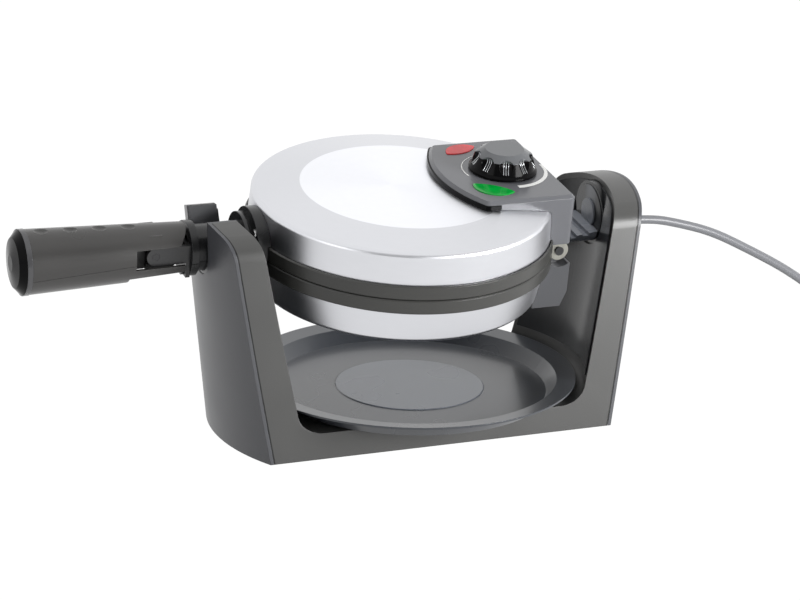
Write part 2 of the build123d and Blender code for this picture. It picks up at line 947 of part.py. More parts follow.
def lamp_part(leaf):
    """Lamp lens set into the top of the control box."""
    with BuildPart() as lamp:
        with BuildSketch(Plane.XY.offset(box_top + lamp_proud)):
            add(leaf_sketch(leaf, 0))
        extrude(amount=-lamp_wall)
        chamfer(lamp.faces().sort_by(Axis.Z)[-1].edges(), length=lamp_proud / 2)
    return lamp.part


power_lamp = lamp_part(power_leaf)
ready_lamp = lamp_part(ready_leaf)

# Thermostat hung under the box, its bush reaching up through the top
with BuildPart() as thermostat:
    add(rod((knob_x, 0, thermostat_bottom), (knob_x, 0, box_top - box_wall - floor_gap),
            thermostat_radius))
    add(rod((knob_x, 0, box_top - box_wall - floor_gap), (knob_x, 0, thermostat_bush_top),
            thermostat_bush_radius))
    add(rod((knob_x, 0, spindle_bottom - part_gap), (knob_x, 0, thermostat_bush_top),
            spindle_radius + shaft_clearance), mode=Mode.SUBTRACT)


def spindle(radius, bottom, top, flat):
    """Spindle with a flat over its upper part."""
    with BuildPart() as bar:
        add(rod((knob_x, 0, bottom), (knob_x, 0, top), radius))
        add(block(
            (knob_x + radius - flat, -radius, thermostat_bush_top + part_gap),
            (knob_x + 2 * radius, radius, top),
        ), mode=Mode.SUBTRACT)
    return bar.part


# Spindle of the thermostat
knob_shaft = spindle(spindle_radius, spindle_bottom, spindle_top, spindle_flat)

# Finger pockets round the knob, each a short leaning capsule
knob_base = box_top + knob_gap
with BuildPart() as knob_pockets:
    for i in range(pocket_count):
        around = Plane((knob_x, 0, knob_base)).rotated((0, 0, pocket_first + 360 / pocket_count * i))
        ends = [around.from_local_coords((reach, 0, rise)) for reach, rise in (pocket_low,
                                                                               pocket_high)]
        add(rod(*ends, pocket_radius))
        with Locations(*ends):
            Sphere(pocket_radius)


def knob_turned(points):
    """Solid turned about the knob's axis from radii and heights, with the pockets cut in."""
    with BuildPart() as solid:
        with BuildSketch(Plane((knob_x, 0, knob_base), x_dir=(1, 0, 0), z_dir=(0, -1, 0))):
            Polygon(*points, align=None)
        revolve(axis=Axis((knob_x, 0, 0), (0, 0, 1)))
        add(knob_pockets.part, mode=Mode.SUBTRACT)
    return solid.part


# Knob body: skirt and side with a hub for the spindle
hub_top = knob_base + knob_shoulder_height - knob_wall
with BuildPart() as knob_body:
    add(knob_turned((
        (0, 0), (knob_skirt_radius, 0), (knob_skirt_radius, knob_skirt_edge),
        (knob_foot_radius, knob_skirt_height), (knob_shoulder_radius, knob_shoulder_height),
        (0, knob_shoulder_height),
    )))
    add(rod((knob_x, 0, knob_base), (knob_x, 0, hub_top), thermostat_bush_radius + part_gap),
        mode=Mode.SUBTRACT)
    add(rod((knob_x, 0, spindle_top - knob_wall), (knob_x, 0, hub_top),
            thermostat_bush_radius + 2 * part_gap))
    add(spindle(
        spindle_radius + floor_gap, knob_base, spindle_top + part_gap, spindle_flat
    ), mode=Mode.SUBTRACT)

# Grey cap of the knob: a sloping shoulder round a flat top
knob_cap = knob_turned((
    (0, knob_shoulder_height + floor_gap), (knob_shoulder_radius, knob_shoulder_height + floor_gap),
    (knob_top_radius, knob_height), (0, knob_height),
))


def lug_pair(low_y, web_z, side):
    """Round hinge ears of both hinge ends with their webs towards web_z."""
    with BuildPart() as lug:
        add(rod((hinge_x, low_y, hinge_z), (hinge_x, low_y + lug_width, hinge_z), lug_radius))
        add(block(
            (hinge_x - lug_web, low_y, min(hinge_z, web_z)),
            (hinge_x + lug_web, low_y + lug_width, max(hinge_z, web_z)),
        ))
        add(rod((hinge_x, 0, hinge_z), (hinge_x, long_reach, hinge_z),
                hinge_pin_radius + (shaft_clearance if side > 0 else floor_gap)),
            mode=Mode.SUBTRACT)
    return mirrored(lug.part)


upper_lug_y = lower_lug_y + lug_width + lug_gap

# Lid hinge bracket: a bar across the box with an ear at each end
with BuildPart() as lid_bracket:
    add(block(
        (hinge_x - lug_web, -upper_lug_y - lug_width, hinge_bar_bottom),
        (hinge_x + lug_web, upper_lug_y + lug_width, hinge_bar_top),
    ))
    add(lug_pair(upper_lug_y, hinge_bar_top, 1))

# Hinge pins with flat heads on the outside
with BuildPart() as hinge_pins:
    head_y = upper_lug_y + lug_width + floor_gap
    add(mirrored(rod((hinge_x, lower_lug_y, hinge_z), (hinge_x, head_y, hinge_z),
                     hinge_pin_radius)))
    add(mirrored(rod((hinge_x, head_y, hinge_z), (hinge_x, head_y + hinge_pin_head, hinge_z),
                     hinge_pin_head_radius)))

# Lower hinge block: hollow casting under the right end with the fixed hinge ears
block_section = (
    (block_left, block_bottom), (block_right_bottom, block_bottom), (block_right, block_bend),
    (block_right, block_top), (block_left, block_top),
)
with BuildPart() as hinge_block:
    add(side_prism(block_section, -block_half_width, block_half_width))
    add(envelope, mode=Mode.SUBTRACT)
    add(rod((hinge_x, -long_reach, hinge_z), (hinge_x, long_reach, hinge_z), relief_radius),
        mode=Mode.SUBTRACT)
    add(side_prism((
        (chord_x - 2, block_bottom + block_wall),
        (block_right_bottom - block_wall, block_bottom + block_wall),
        (block_right - block_wall, block_bend), (block_right - block_wall, block_cavity_top),
        (chord_x - 2, block_cavity_top),
    ), -block_half_width + block_wall, block_half_width - block_wall), mode=Mode.SUBTRACT)
    add(lug_pair(lower_lug_y, block_cavity_top, -1))
    add(rod((block_left, 0, wire_bore_z), (long_reach, 0, wire_bore_z), wire_bore),
        mode=Mode.SUBTRACT)
    for y in (-flange_screw_y, flange_screw_y):
        for z in flange_screw_zs:
            add(rod((chord_x, y, z), (long_reach, y, z), flange_screw_radius + shaft_clearance),
                mode=Mode.SUBTRACT)

# Right-hand journal: flange, low neck with steps, and the drum with a disc on its face
neck_start = block_right + floor_gap
with BuildPart() as right_journal:
    add(rod((neck_start, 0, 0), (drum_end_x, 0, 0), drum_radius))
    neck_slope = (neck_top_outer - neck_top_inner) / (drum_face_x - neck_start)
    add(side_prism((
        (neck_start - 1, neck_top_inner - neck_slope), (drum_face_x, neck_top_outer),
        (drum_face_x, long_reach), (neck_start - 1, long_reach),
    ), -long_reach, long_reach), mode=Mode.SUBTRACT)
    add(block(
        (neck_start, -neck_flange_half_width, neck_flange_bottom),
        (neck_start + neck_flange_wall, neck_flange_half_width, neck_top_inner),
    ))
    step_count = int((drum_face_x - neck_start) / neck_step_pitch) - 1
    for i in range(step_count):
        x = neck_start + neck_flange_wall + neck_step_pitch * (i + 0.5)
        z = neck_top_inner + neck_slope * (x - neck_start)
        add(block(
            (x, -drum_radius, z - neck_step_depth), (x + neck_step_width, drum_radius, long_reach)
        ), mode=Mode.SUBTRACT)
    add(rod((drum_face_x - drum_disc_height, 0, 0), (drum_face_x, 0, 0), drum_disc_radius))
    add(rod((neck_start - 1, 0, wire_bore_z), (drum_end_x, 0, wire_bore_z), wire_bore),
        mode=Mode.SUBTRACT)
    add(rod((drum_end_x - drum_hollow_depth, 0, 0), (drum_end_x, 0, 0), drum_hollow_radius),
        mode=Mode.SUBTRACT)
    with BuildSketch(Plane.YZ.offset(clip_x)):
        Circle(2 * drum_radius)
        Circle(drum_radius - clip_depth, mode=Mode.SUBTRACT)
    extrude(amount=clip_wall + 2 * floor_gap, mode=Mode.SUBTRACT)
    for y in (-flange_screw_y, flange_screw_y):
        for z in flange_screw_zs:
            add(rod((neck_start - 1, y, z), (drum_face_x, y, z),
                    flange_screw_radius + shaft_clearance), mode=Mode.SUBTRACT)

# Screws through the journal's flange
with BuildPart() as flange_screws:
    for y in (-flange_screw_y, flange_screw_y):
        for z in flange_screw_zs:
            face = neck_start + neck_flange_wall + floor_gap
            add(rod((block_right - block_wall - 1, y, z), (face, y, z), flange_screw_radius))
            add(rod((face, y, z), (face + flange_screw_head, y, z), flange_screw_head_radius))

# Retaining clip in the drum's groove, open on one side
with BuildPart() as drum_clip:
    with BuildSketch(Plane.YZ.offset(clip_x + floor_gap)):
        Circle(clip_radius)
        Circle(drum_radius - clip_depth + floor_gap, mode=Mode.SUBTRACT)
        with Locations((0, clip_radius)):
            Rectangle(clip_opening, clip_radius, mode=Mode.SUBTRACT)
    extrude(amount=clip_wall)


def journal_half(side):
    """Half of the left-hand journal with hub, thrust disc and collar; side as for level."""
    keep = level(parting_gap * 3 / 4, side)
    with BuildPart() as half:
        add(rod((hub_inner_x, 0, 0), (hub_outer_x, 0, 0), hub_radius))
        add(rod((hub_outer_x, 0, 0), (journal_left_end, 0, 0), journal_radius))
        add(rod((thrust_x, 0, 0), (thrust_x - thrust_wall, 0, 0), thrust_radius))
        add(rod((journal_left_end, 0, 0), (collar_end, 0, 0), collar_radius))
        add(rod((hub_outer_x + thrust_wall, 0, 0), (collar_end, 0, 0), journal_bore),
            mode=Mode.SUBTRACT)
        add(envelope, mode=Mode.SUBTRACT)
        low, high = (keep, long_reach) if side > 0 else (-long_reach, keep)
        add(block((-long_reach, -long_reach, low), (0, long_reach, high)), mode=Mode.INTERSECT)
        for y, z in rivet_spots(side):
            add(rod((hub_outer_x, y, z), (hub_outer_x + rivet_length, y, z),
                    rivet_radius + floor_gap), mode=Mode.SUBTRACT)
        if side < 0:
            for y in (-fork_screw_y, fork_screw_y):
                add(rod((collar_end, y, fork_screw_z),
                        (collar_end + fork_screw_length, y, fork_screw_z),
                        flange_screw_radius + floor_gap), mode=Mode.SUBTRACT)
    return half.part


def rivet_spots(side):
    """Places of two rivets on one half of the hub's face."""
    angle = radians(rivet_angle)
    return [
        (way * rivet_circle * cos(angle), side * rivet_circle * sin(angle)) for way in (-1, 1)
    ]


def rivet_part(side):
    """Bright rivets on one half of the hub."""
    with BuildPart() as rivets:
        for y, z in rivet_spots(side):
            face = hub_outer_x - floor_gap
            add(rod((face, y, z), (hub_outer_x + rivet_length, y, z), rivet_radius))
            add(rod((face, y, z), (face - rivet_head, y, z), rivet_head_radius))
    return rivets.part


upper_journal = journal_half(1)
lower_journal = journal_half(-1)
upper_rivets = rivet_part(1)
lower_rivets = rivet_part(-1)

# Fork that carries the grip: a plate behind the collar with two arms
fork_face = collar_end - floor_gap
with BuildPart() as grip_fork:
    add(block(
        (fork_face - fork_plate_wall, -arm_outer_y, fork_plate_bottom),
        (fork_face, arm_outer_y, pivot_z + arm_height / 2),
    ))
    with BuildPart(mode=Mode.PRIVATE) as arm:
        add(block(
            (pivot_x, arm_outer_y - arm_wall, pivot_z - arm_height / 2),
            (fork_face, arm_outer_y, pivot_z + arm_height / 2),
        ))
        add(rod((pivot_x, arm_outer_y - arm_wall, pivot_z), (pivot_x, arm_outer_y, pivot_z),
                arm_height / 2))
    add(mirrored(arm.part))
    add(rod((pivot_x, -long_reach, pivot_z), (pivot_x, long_reach, pivot_z),
            pivot_radius + shaft_clearance), mode=Mode.SUBTRACT)
    for y in (-fork_screw_y, fork_screw_y):
        add(rod((fork_face - fork_plate_wall, y, fork_screw_z), (fork_face, y, fork_screw_z),
                flange_screw_radius + shaft_clearance), mode=Mode.SUBTRACT)

# Screws that hold the fork on the collar
with BuildPart() as fork_screws:
    for y in (-fork_screw_y, fork_screw_y):
        face = fork_face - fork_plate_wall - floor_gap
        add(rod((face, y, fork_screw_z), (collar_end + fork_screw_length, y, fork_screw_z),
                flange_screw_radius))
        add(rod((face - flange_screw_head, y, fork_screw_z), (face, y, fork_screw_z),
                flange_screw_head_radius))


def grip_solid(inset):
    """Tapered round body of the grip, drawn in by inset."""
    with BuildPart() as body:
        with BuildSketch(Plane.XZ):
            Polygon(
                (grip_end_x + inset * (inset > 0), 0), (grip_inner_x, 0),
                (grip_inner_x, grip_inner_radius - inset), (grip_end_x, grip_outer_radius - inset),
                (grip_end_x, 0), align=None,
            )
        revolve(axis=Axis.X)
    return body.part


def grip_radius(x):
    """Outer radius of the grip at x."""
    share = (x - grip_inner_x) / (grip_end_x - grip_inner_x)
    return grip_inner_radius + share * (grip_outer_radius - grip_inner_radius)


def seam_prism(side, gap):
    """Half space on one side of the grip's slanting seam, drawn back by gap."""
    slope = (grip_seam_end[1] - grip_seam_inner[1]) / (grip_seam_end[0] - grip_seam_inner[0])

    def seam(x):
        return grip_seam_inner[1] + slope * (x - grip_seam_inner[0]) + side * gap

    return side_prism((
        (-2 * long_reach, seam(-2 * long_reach)), (0, seam(0)), (0, side * long_reach),
        (-2 * long_reach, side * long_reach),
    ), -long_reach, long_reach)


def grip_shell(side):
    """Half of the grip's hollow clamshell, side +1 above the seam or -1 below."""
    notch_low = pivot_z - arm_height / 2 - grip_notch_gap
    notch_high = pivot_z + arm_height / 2 + grip_notch_gap
    with BuildPart() as shell:
        add(grip_solid(0))
        with BuildPart(mode=Mode.PRIVATE) as room:
            add(grip_solid(grip_wall))
            add(rod((grip_inner_x - 1, 0, 0), (grip_inner_x + 5, 0, 0),
                    grip_inner_radius - grip_wall))
            add(rod((grip_end_x - 5, 0, 0), (grip_end_x + 2, 0, 0), grip_outer_radius - grip_wall))
        add(room.part, mode=Mode.SUBTRACT)
        for x in grip_screw_xs:
            add(rod((x, 0, side * (grip_radius(x) - grip_wall / 2)), (x, 0, -side * 20),
                    grip_boss_radius))
        if side > 0:
            add(block(
                (pivot_x - pivot_block_half, -arm_outer_y + arm_wall + part_gap,
                 pivot_z - pivot_block_half),
                (pivot_x + pivot_block_half, arm_outer_y - arm_wall - part_gap,
                 grip_inner_radius - grip_wall),
            ))
        add(seam_prism(side, parting_gap / 2), mode=Mode.INTERSECT)
        if side < 0:
            add(block(
                (pivot_x + fork_plate_bottom - pivot_z - 2 * grip_notch_gap,
                 -arm_outer_y - grip_notch_gap, -long_reach),
                (0, arm_outer_y + grip_notch_gap, notch_low + 1),
            ), mode=Mode.SUBTRACT)
            add(block((grip_lower_x, -long_reach, -long_reach), (0, long_reach, long_reach)),
                mode=Mode.SUBTRACT)
        else:
            lean = tan(radians(grip_cut_lean))
            top = grip_inner_radius
            add(side_prism((
                (grip_inner_x, top), (0, top), (0, -2 * top), (grip_inner_x - 3 * top * lean,
                                                                -2 * top),
            ), -long_reach, long_reach), mode=Mode.SUBTRACT)
        inner = arm_outer_y - arm_wall - part_gap / 2
        with BuildPart(mode=Mode.PRIVATE) as notch:
            add(block((grip_notch_x, inner, notch_low), (0, long_reach, notch_high)))
        add(mirrored(notch.part), mode=Mode.SUBTRACT)
        add(rod((pivot_x, -long_reach, pivot_z), (pivot_x, long_reach, pivot_z),
                pivot_radius + floor_gap), mode=Mode.SUBTRACT)
        for x in grip_screw_xs:
            add(rod((x, 0, -long_reach), (x, 0, grip_screw_tip + part_gap),
                    grip_screw_radius + floor_gap), mode=Mode.SUBTRACT)
            add(rod((x, 0, -long_reach), (x, 0, -grip_screw_seat),
                    grip_screw_head_radius + part_gap), mode=Mode.SUBTRACT)
        for i in range(dimple_count):
            x = dimple_start - i * dimple_pitch
            with Locations((x, 0, grip_radius(x) + dimple_radius - dimple_depth)):
                Sphere(dimple_radius, mode=Mode.SUBTRACT)
    return shell.part


grip_upper_shell = grip_shell(1)
grip_lower_shell = grip_shell(-1)

# Pivot pins of the grip
with BuildPart() as grip_pins:
    add(mirrored(rod((pivot_x, pivot_pin_inner_y, pivot_z), (pivot_x, arm_outer_y, pivot_z),
                     pivot_radius)))

# Grip screws from below
with BuildPart() as grip_screws:
    for x in grip_screw_xs:
        add(rod((x, 0, -grip_screw_seat), (x, 0, grip_screw_tip), grip_screw_radius))
        add(rod((x, 0, -grip_screw_seat - grip_screw_head), (x, 0, -grip_screw_seat - floor_gap),
                grip_screw_head_radius))
        add(rod((x, 0, -grip_screw_seat - floor_gap), (x, 0, -grip_screw_seat),
                grip_screw_radius))


def end_turned(points):
    """Solid turned about X from pairs of x and radius."""
    with BuildPart() as turned_part:
        with BuildSketch(Plane.XZ):
            Polygon(*points, align=None)
        revolve(axis=Axis.X)
    return turned_part.part


# Bright ring and dark cap at the grip's outer end
ring_start = grip_end_x - floor_gap
ring_stop = ring_start - end_ring_wall
grip_end_ring = end_turned((
    (ring_start, end_neck_radius + floor_gap),
    (ring_start, grip_outer_radius + end_ring_proud),
    (ring_stop, grip_outer_radius + end_ring_proud), (ring_stop, end_neck_radius + floor_gap),
))
grip_end_cap = end_turned((
    (grip_end_x + end_spigot_length, 0), (grip_end_x + end_spigot_length, end_neck_radius),
    (ring_stop - floor_gap, end_neck_radius), (ring_stop - floor_gap, grip_outer_radius),
    (end_bevel_x, end_bevel_radius), (end_tip_x, end_bevel_radius / 3), (end_tip_x, 0),
))

# Cord gland: flange on the cover and a tapered sleeve round the cord
gland_face = outer_radius(gland_height + gland_flange_radius) + cover_wall + seat_gap
with BuildPart() as cord_gland:
    with BuildSketch(Plane((0, 0, gland_height), x_dir=(1, 0, 0), z_dir=(0, -1, 0))):
        Polygon(
            (gland_inner_x, cord_radius + cord_fit), (gland_outer_x, cord_radius + cord_fit),
            (gland_outer_x, gland_tip_radius), (gland_face + gland_flange_wall, gland_radius),
            (gland_face + gland_flange_wall, gland_flange_radius),
            (gland_face, gland_flange_radius), (gland_face, gland_radius),
            (gland_inner_x, gland_radius), align=None,
        )
    revolve(axis=Axis((0, 0, gland_height), (1, 0, 0)))


def bend_radii(points):
    """Largest safe bend at each corner of a route."""
    corners = [Vector(*point) for point in points]
    radii = []
    for before, corner, after in zip(corners, corners[1:], corners[2:]):
        run_in, run_out = corner - before, after - corner
        half_turn = radians(run_in.get_angle(run_out)) / 2
        radii.append(0.45 * min(run_in.length, run_out.length) / tan(half_turn))
    return radii


def swept_cord(points):
    """Round cord along a route of straight runs joined by bends."""
    radii = bend_radii(points)
    with BuildPart() as cord:
        with BuildLine() as route:
            FilletPolyline(*points, radius=radii)
        path = route.wire()
        with BuildSketch(Plane(path @ 0, z_dir=path % 0)):
            Circle(cord_radius)
        sweep(path=path)
    share = cord.part.volume / (pi * cord_radius ** 2 * path.length)
    print("bends", [round(r) for r in radii], "volume share", round(share, 4))
    return cord.part


mains_cord = swept_cord(cord_route)

# Spare cord wound flat on the table: two layers of half turns with one climb between
coil_step = (2 * cord_radius + coil_gap) / 2
coil_start = Vector(*cord_route[-1])
entry = 2 * cord_radius
with BuildPart() as cord_coil:
    with BuildLine() as winding:
        here = coil_start + Vector(entry, 0, 0)
        Line(coil_start, here)
        radius = coil_outer_radius
        half_turns = coil_flat_turns + 1 + coil_top_turns
        for turn_number in range(half_turns):
            climbing = turn_number == coil_flat_turns
            if turn_number and turn_number <= coil_flat_turns:
                radius -= coil_step
            if turn_number > coil_flat_turns:
                radius += coil_step / 2 if turn_number == coil_flat_turns + 1 else coil_step
            way = 1 if turn_number % 2 == 0 else -1
            there = here + Vector(0, way * 2 * radius, coil_lift if climbing else 0)
            middle = (here + there) / 2
            bulge = middle + Vector(way * (there - here).length / 2, 0, 0)
            ThreePointArc(here, bulge, there)
            here = there
        Line(here, here + Vector(entry * (1 if half_turns % 2 == 0 else -1), 0, 0))
    coil_path = winding.wire()
    with BuildSketch(Plane(coil_path @ 0, z_dir=coil_path % 0)):
        Circle(cord_radius)
    sweep(path=coil_path)
coil_end = coil_path @ 1
coil_share = cord_coil.part.volume / (pi * cord_radius ** 2 * coil_path.length)
print("coil volume share", round(coil_share, 4), "coil end", coil_end)

# Lead from the coil up to the plug
plug_height = plug_radius + floor_gap
lead_rise = plug_height - coil_end.Z
plug_lead = swept_cord((
    tuple(coil_end), tuple(coil_end + Vector(plug_rise, 0, 0)),
    tuple(coil_end + Vector(2 * plug_rise, 0, lead_rise)),
    tuple(coil_end + Vector(3 * plug_rise, 0, lead_rise)),
))

# Plug: a round body that narrows towards the cord
plug_x = coil_end.X + 3 * plug_rise
plug_pose = Plane((plug_x, coil_end.Y, plug_height), x_dir=(1, 0, 0), z_dir=(0, -1, 0))
plug_axis = Axis((plug_x, coil_end.Y, plug_height), (1, 0, 0))
with BuildPart() as plug_body:
    with BuildSketch(plug_pose):
        Polygon(
            (floor_gap, 0), (floor_gap, plug_tail_radius), (plug_length - plug_face,
                                                           plug_tail_radius + plug_taper),
            (plug_length - plug_face, plug_radius), (plug_length, plug_radius), (plug_length, 0),
            align=None,
        )
    revolve(axis=plug_axis)
    fillet(
        plug_body.edges().filter_by(GeomType.CIRCLE).filter_by(
            lambda edge: edge.radius > plug_radius - 1
        ),
        radius=plug_round,
    )

# Two round pins
with BuildPart() as plug_pins:
    for way in (-1, 1):
        y = coil_end.Y + way * pin_spacing / 2
        face = plug_x + plug_length + floor_gap
        add(rod((face, y, plug_height), (face + pin_length, y, plug_height), pin_radius))
    chamfer(plug_pins.faces().group_by(Axis.X)[-1].edges(), length=pin_radius / 3)

stand_parts = {
    "stand_frame": stand_frame.part, "left_cover": left_cover.part,
    "right_cover": right_cover.part, "left_inner_panel": left_inner_panel.part,
    "right_inner_panel": right_inner_panel.part, "base_plate": base_plate.part,
    "rubber_feet": rubber_feet.part, "base_screws": base_screws.part,
    "left_saddle": left_saddle.part, "right_bush": right_bush.part,
    "cord_gland": cord_gland.part, "mains_cord": mains_cord, "cord_coil": cord_coil.part,
    "plug_lead": plug_lead, "plug_body": plug_body.part, "plug_pins": plug_pins.part,
    "drip_tray": drip_tray.part,
}
head_parts = {
    "lower_shell": lower_shell, "lower_ring": lower_ring, "lower_plate": lower_plate,
    "lower_element": lower_element, "lower_plate_screws": lower_plate_screws,
    "hinge_block": hinge_block.part, "hinge_pins": hinge_pins.part,
    "right_journal": right_journal.part, "flange_screws": flange_screws.part,
    "drum_clip": drum_clip.part, "lower_journal": lower_journal,
    "lower_rivets": lower_rivets, "grip_fork": grip_fork.part,
    "fork_screws": fork_screws.part,
    "upper_shell": upper_shell.part, "upper_ring": upper_ring, "upper_plate": upper_plate,
    "upper_element": upper_element, "upper_plate_screws": upper_plate_screws,
    "lid_bracket": lid_bracket.part, "upper_journal": upper_journal,
    "upper_rivets": upper_rivets, "control_box": control_box.part,
    "control_trim": control_trim.part, "power_lamp": power_lamp, "ready_lamp": ready_lamp,
    "thermostat": thermostat.part,
    "knob_body": knob_body.part, "knob_cap": knob_cap, "knob_shaft": knob_shaft,
    "grip_upper_shell": grip_upper_shell, "grip_lower_shell": grip_lower_shell,
    "grip_pins": grip_pins.part, "grip_screws": grip_screws.part,
    "grip_end_ring": grip_end_ring, "grip_end_cap": grip_end_cap,
}

for name, part in stand_parts.items():
    part.label = name
    export_step(part, f"parts/{name}.step")
for name, part in head_parts.items():
    part = part.moved(head_pose)
    part.label = name
    export_step(part, f"parts/{name}.step")
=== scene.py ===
"""Looks of a rotating waffle maker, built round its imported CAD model.

Lengths are in metres in the frame of the CAD model: the origin lies on the table between the
towers, X runs along the turning axis towards the cord, and -Y points to the front.
"""

import json
import logging
import math
from dataclasses import dataclass, field
from enum import Enum

import bmesh
import bpy
from mathutils import Matrix, Vector

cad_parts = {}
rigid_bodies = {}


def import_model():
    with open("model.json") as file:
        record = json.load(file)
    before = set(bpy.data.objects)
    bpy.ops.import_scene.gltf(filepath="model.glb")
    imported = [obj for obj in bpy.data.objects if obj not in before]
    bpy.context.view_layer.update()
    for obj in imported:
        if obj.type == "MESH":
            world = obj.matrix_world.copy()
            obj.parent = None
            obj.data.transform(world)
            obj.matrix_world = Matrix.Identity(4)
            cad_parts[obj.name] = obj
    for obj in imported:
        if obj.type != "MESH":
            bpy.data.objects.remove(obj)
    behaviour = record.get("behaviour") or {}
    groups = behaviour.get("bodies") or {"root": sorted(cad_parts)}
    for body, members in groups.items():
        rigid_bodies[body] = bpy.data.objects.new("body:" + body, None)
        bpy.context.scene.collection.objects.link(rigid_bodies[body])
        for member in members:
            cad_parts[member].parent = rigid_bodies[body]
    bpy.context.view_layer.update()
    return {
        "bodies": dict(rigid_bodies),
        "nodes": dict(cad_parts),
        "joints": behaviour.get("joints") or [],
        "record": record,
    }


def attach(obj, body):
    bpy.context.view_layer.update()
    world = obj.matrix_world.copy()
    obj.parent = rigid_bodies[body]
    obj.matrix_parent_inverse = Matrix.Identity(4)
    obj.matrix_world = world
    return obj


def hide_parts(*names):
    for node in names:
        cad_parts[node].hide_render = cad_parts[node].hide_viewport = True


LOG = logging.getLogger("waffle_maker")
MM = 0.001
AXIS_HEIGHT = 0.1395
HEAD_TILT = math.radians(8.0)
HEAD_CENTRE = Vector((-0.0117, 0.0, AXIS_HEIGHT))
LID_DISC_RADIUS = 0.0707
TRAY_DISC_RADIUS = 0.0523
NECK_REACH = 0.1457
SEAM_RADIUS = 0.1406
SEAM_LEAN = 0.107
SEAM_EDGES = (0.0006, 0.0009)
SEAM_SHADE = 0.1
SCREEN_WHITE = 255.0
NOISE_SPAN = (0.1, 0.9)
COAT_ROUGHNESS = 0.12
BEVEL_SAMPLES = 4

Colour = tuple[float, float, float]
Socket = bpy.types.NodeSocket
Number = float | Socket
Tree = bpy.types.NodeTree


class Direction(Enum):
    """Ways that fine lines can run on a metal."""

    ROUND = "round the head"
    ALONG_X = "along the turning axis"
    ALONG_Z = "up and down"


def srgb(red: int, green: int, blue: int) -> Colour:
    """Turns screen values from 0 to 255 into linear colour.

    Args:
        red: Red on the screen.
        green: Green on the screen.
        blue: Blue on the screen.

    Returns:
        The linear colour.
    """
    def straighten(value: int) -> float:
        """Undoes the screen's curve for one value."""
        share = value / SCREEN_WHITE
        return share / 12.92 if share <= 0.04045 else ((share + 0.055) / 1.055) ** 2.4

    return straighten(red), straighten(green), straighten(blue)


def head_point(x: float, y: float, z: float) -> Vector:
    """Turns millimetres in the level head's own frame into a point of the resting, tilted head.

    Args:
        x: Place along the turning axis.
        y: Place towards the back.
        z: Height above the turning axis.

    Returns:
        The point in metres.
    """
    turned = Matrix.Rotation(HEAD_TILT, 3, "X") @ Vector((0.0, y * MM, z * MM))
    return Vector((x * MM, turned.y, turned.z + AXIS_HEIGHT))


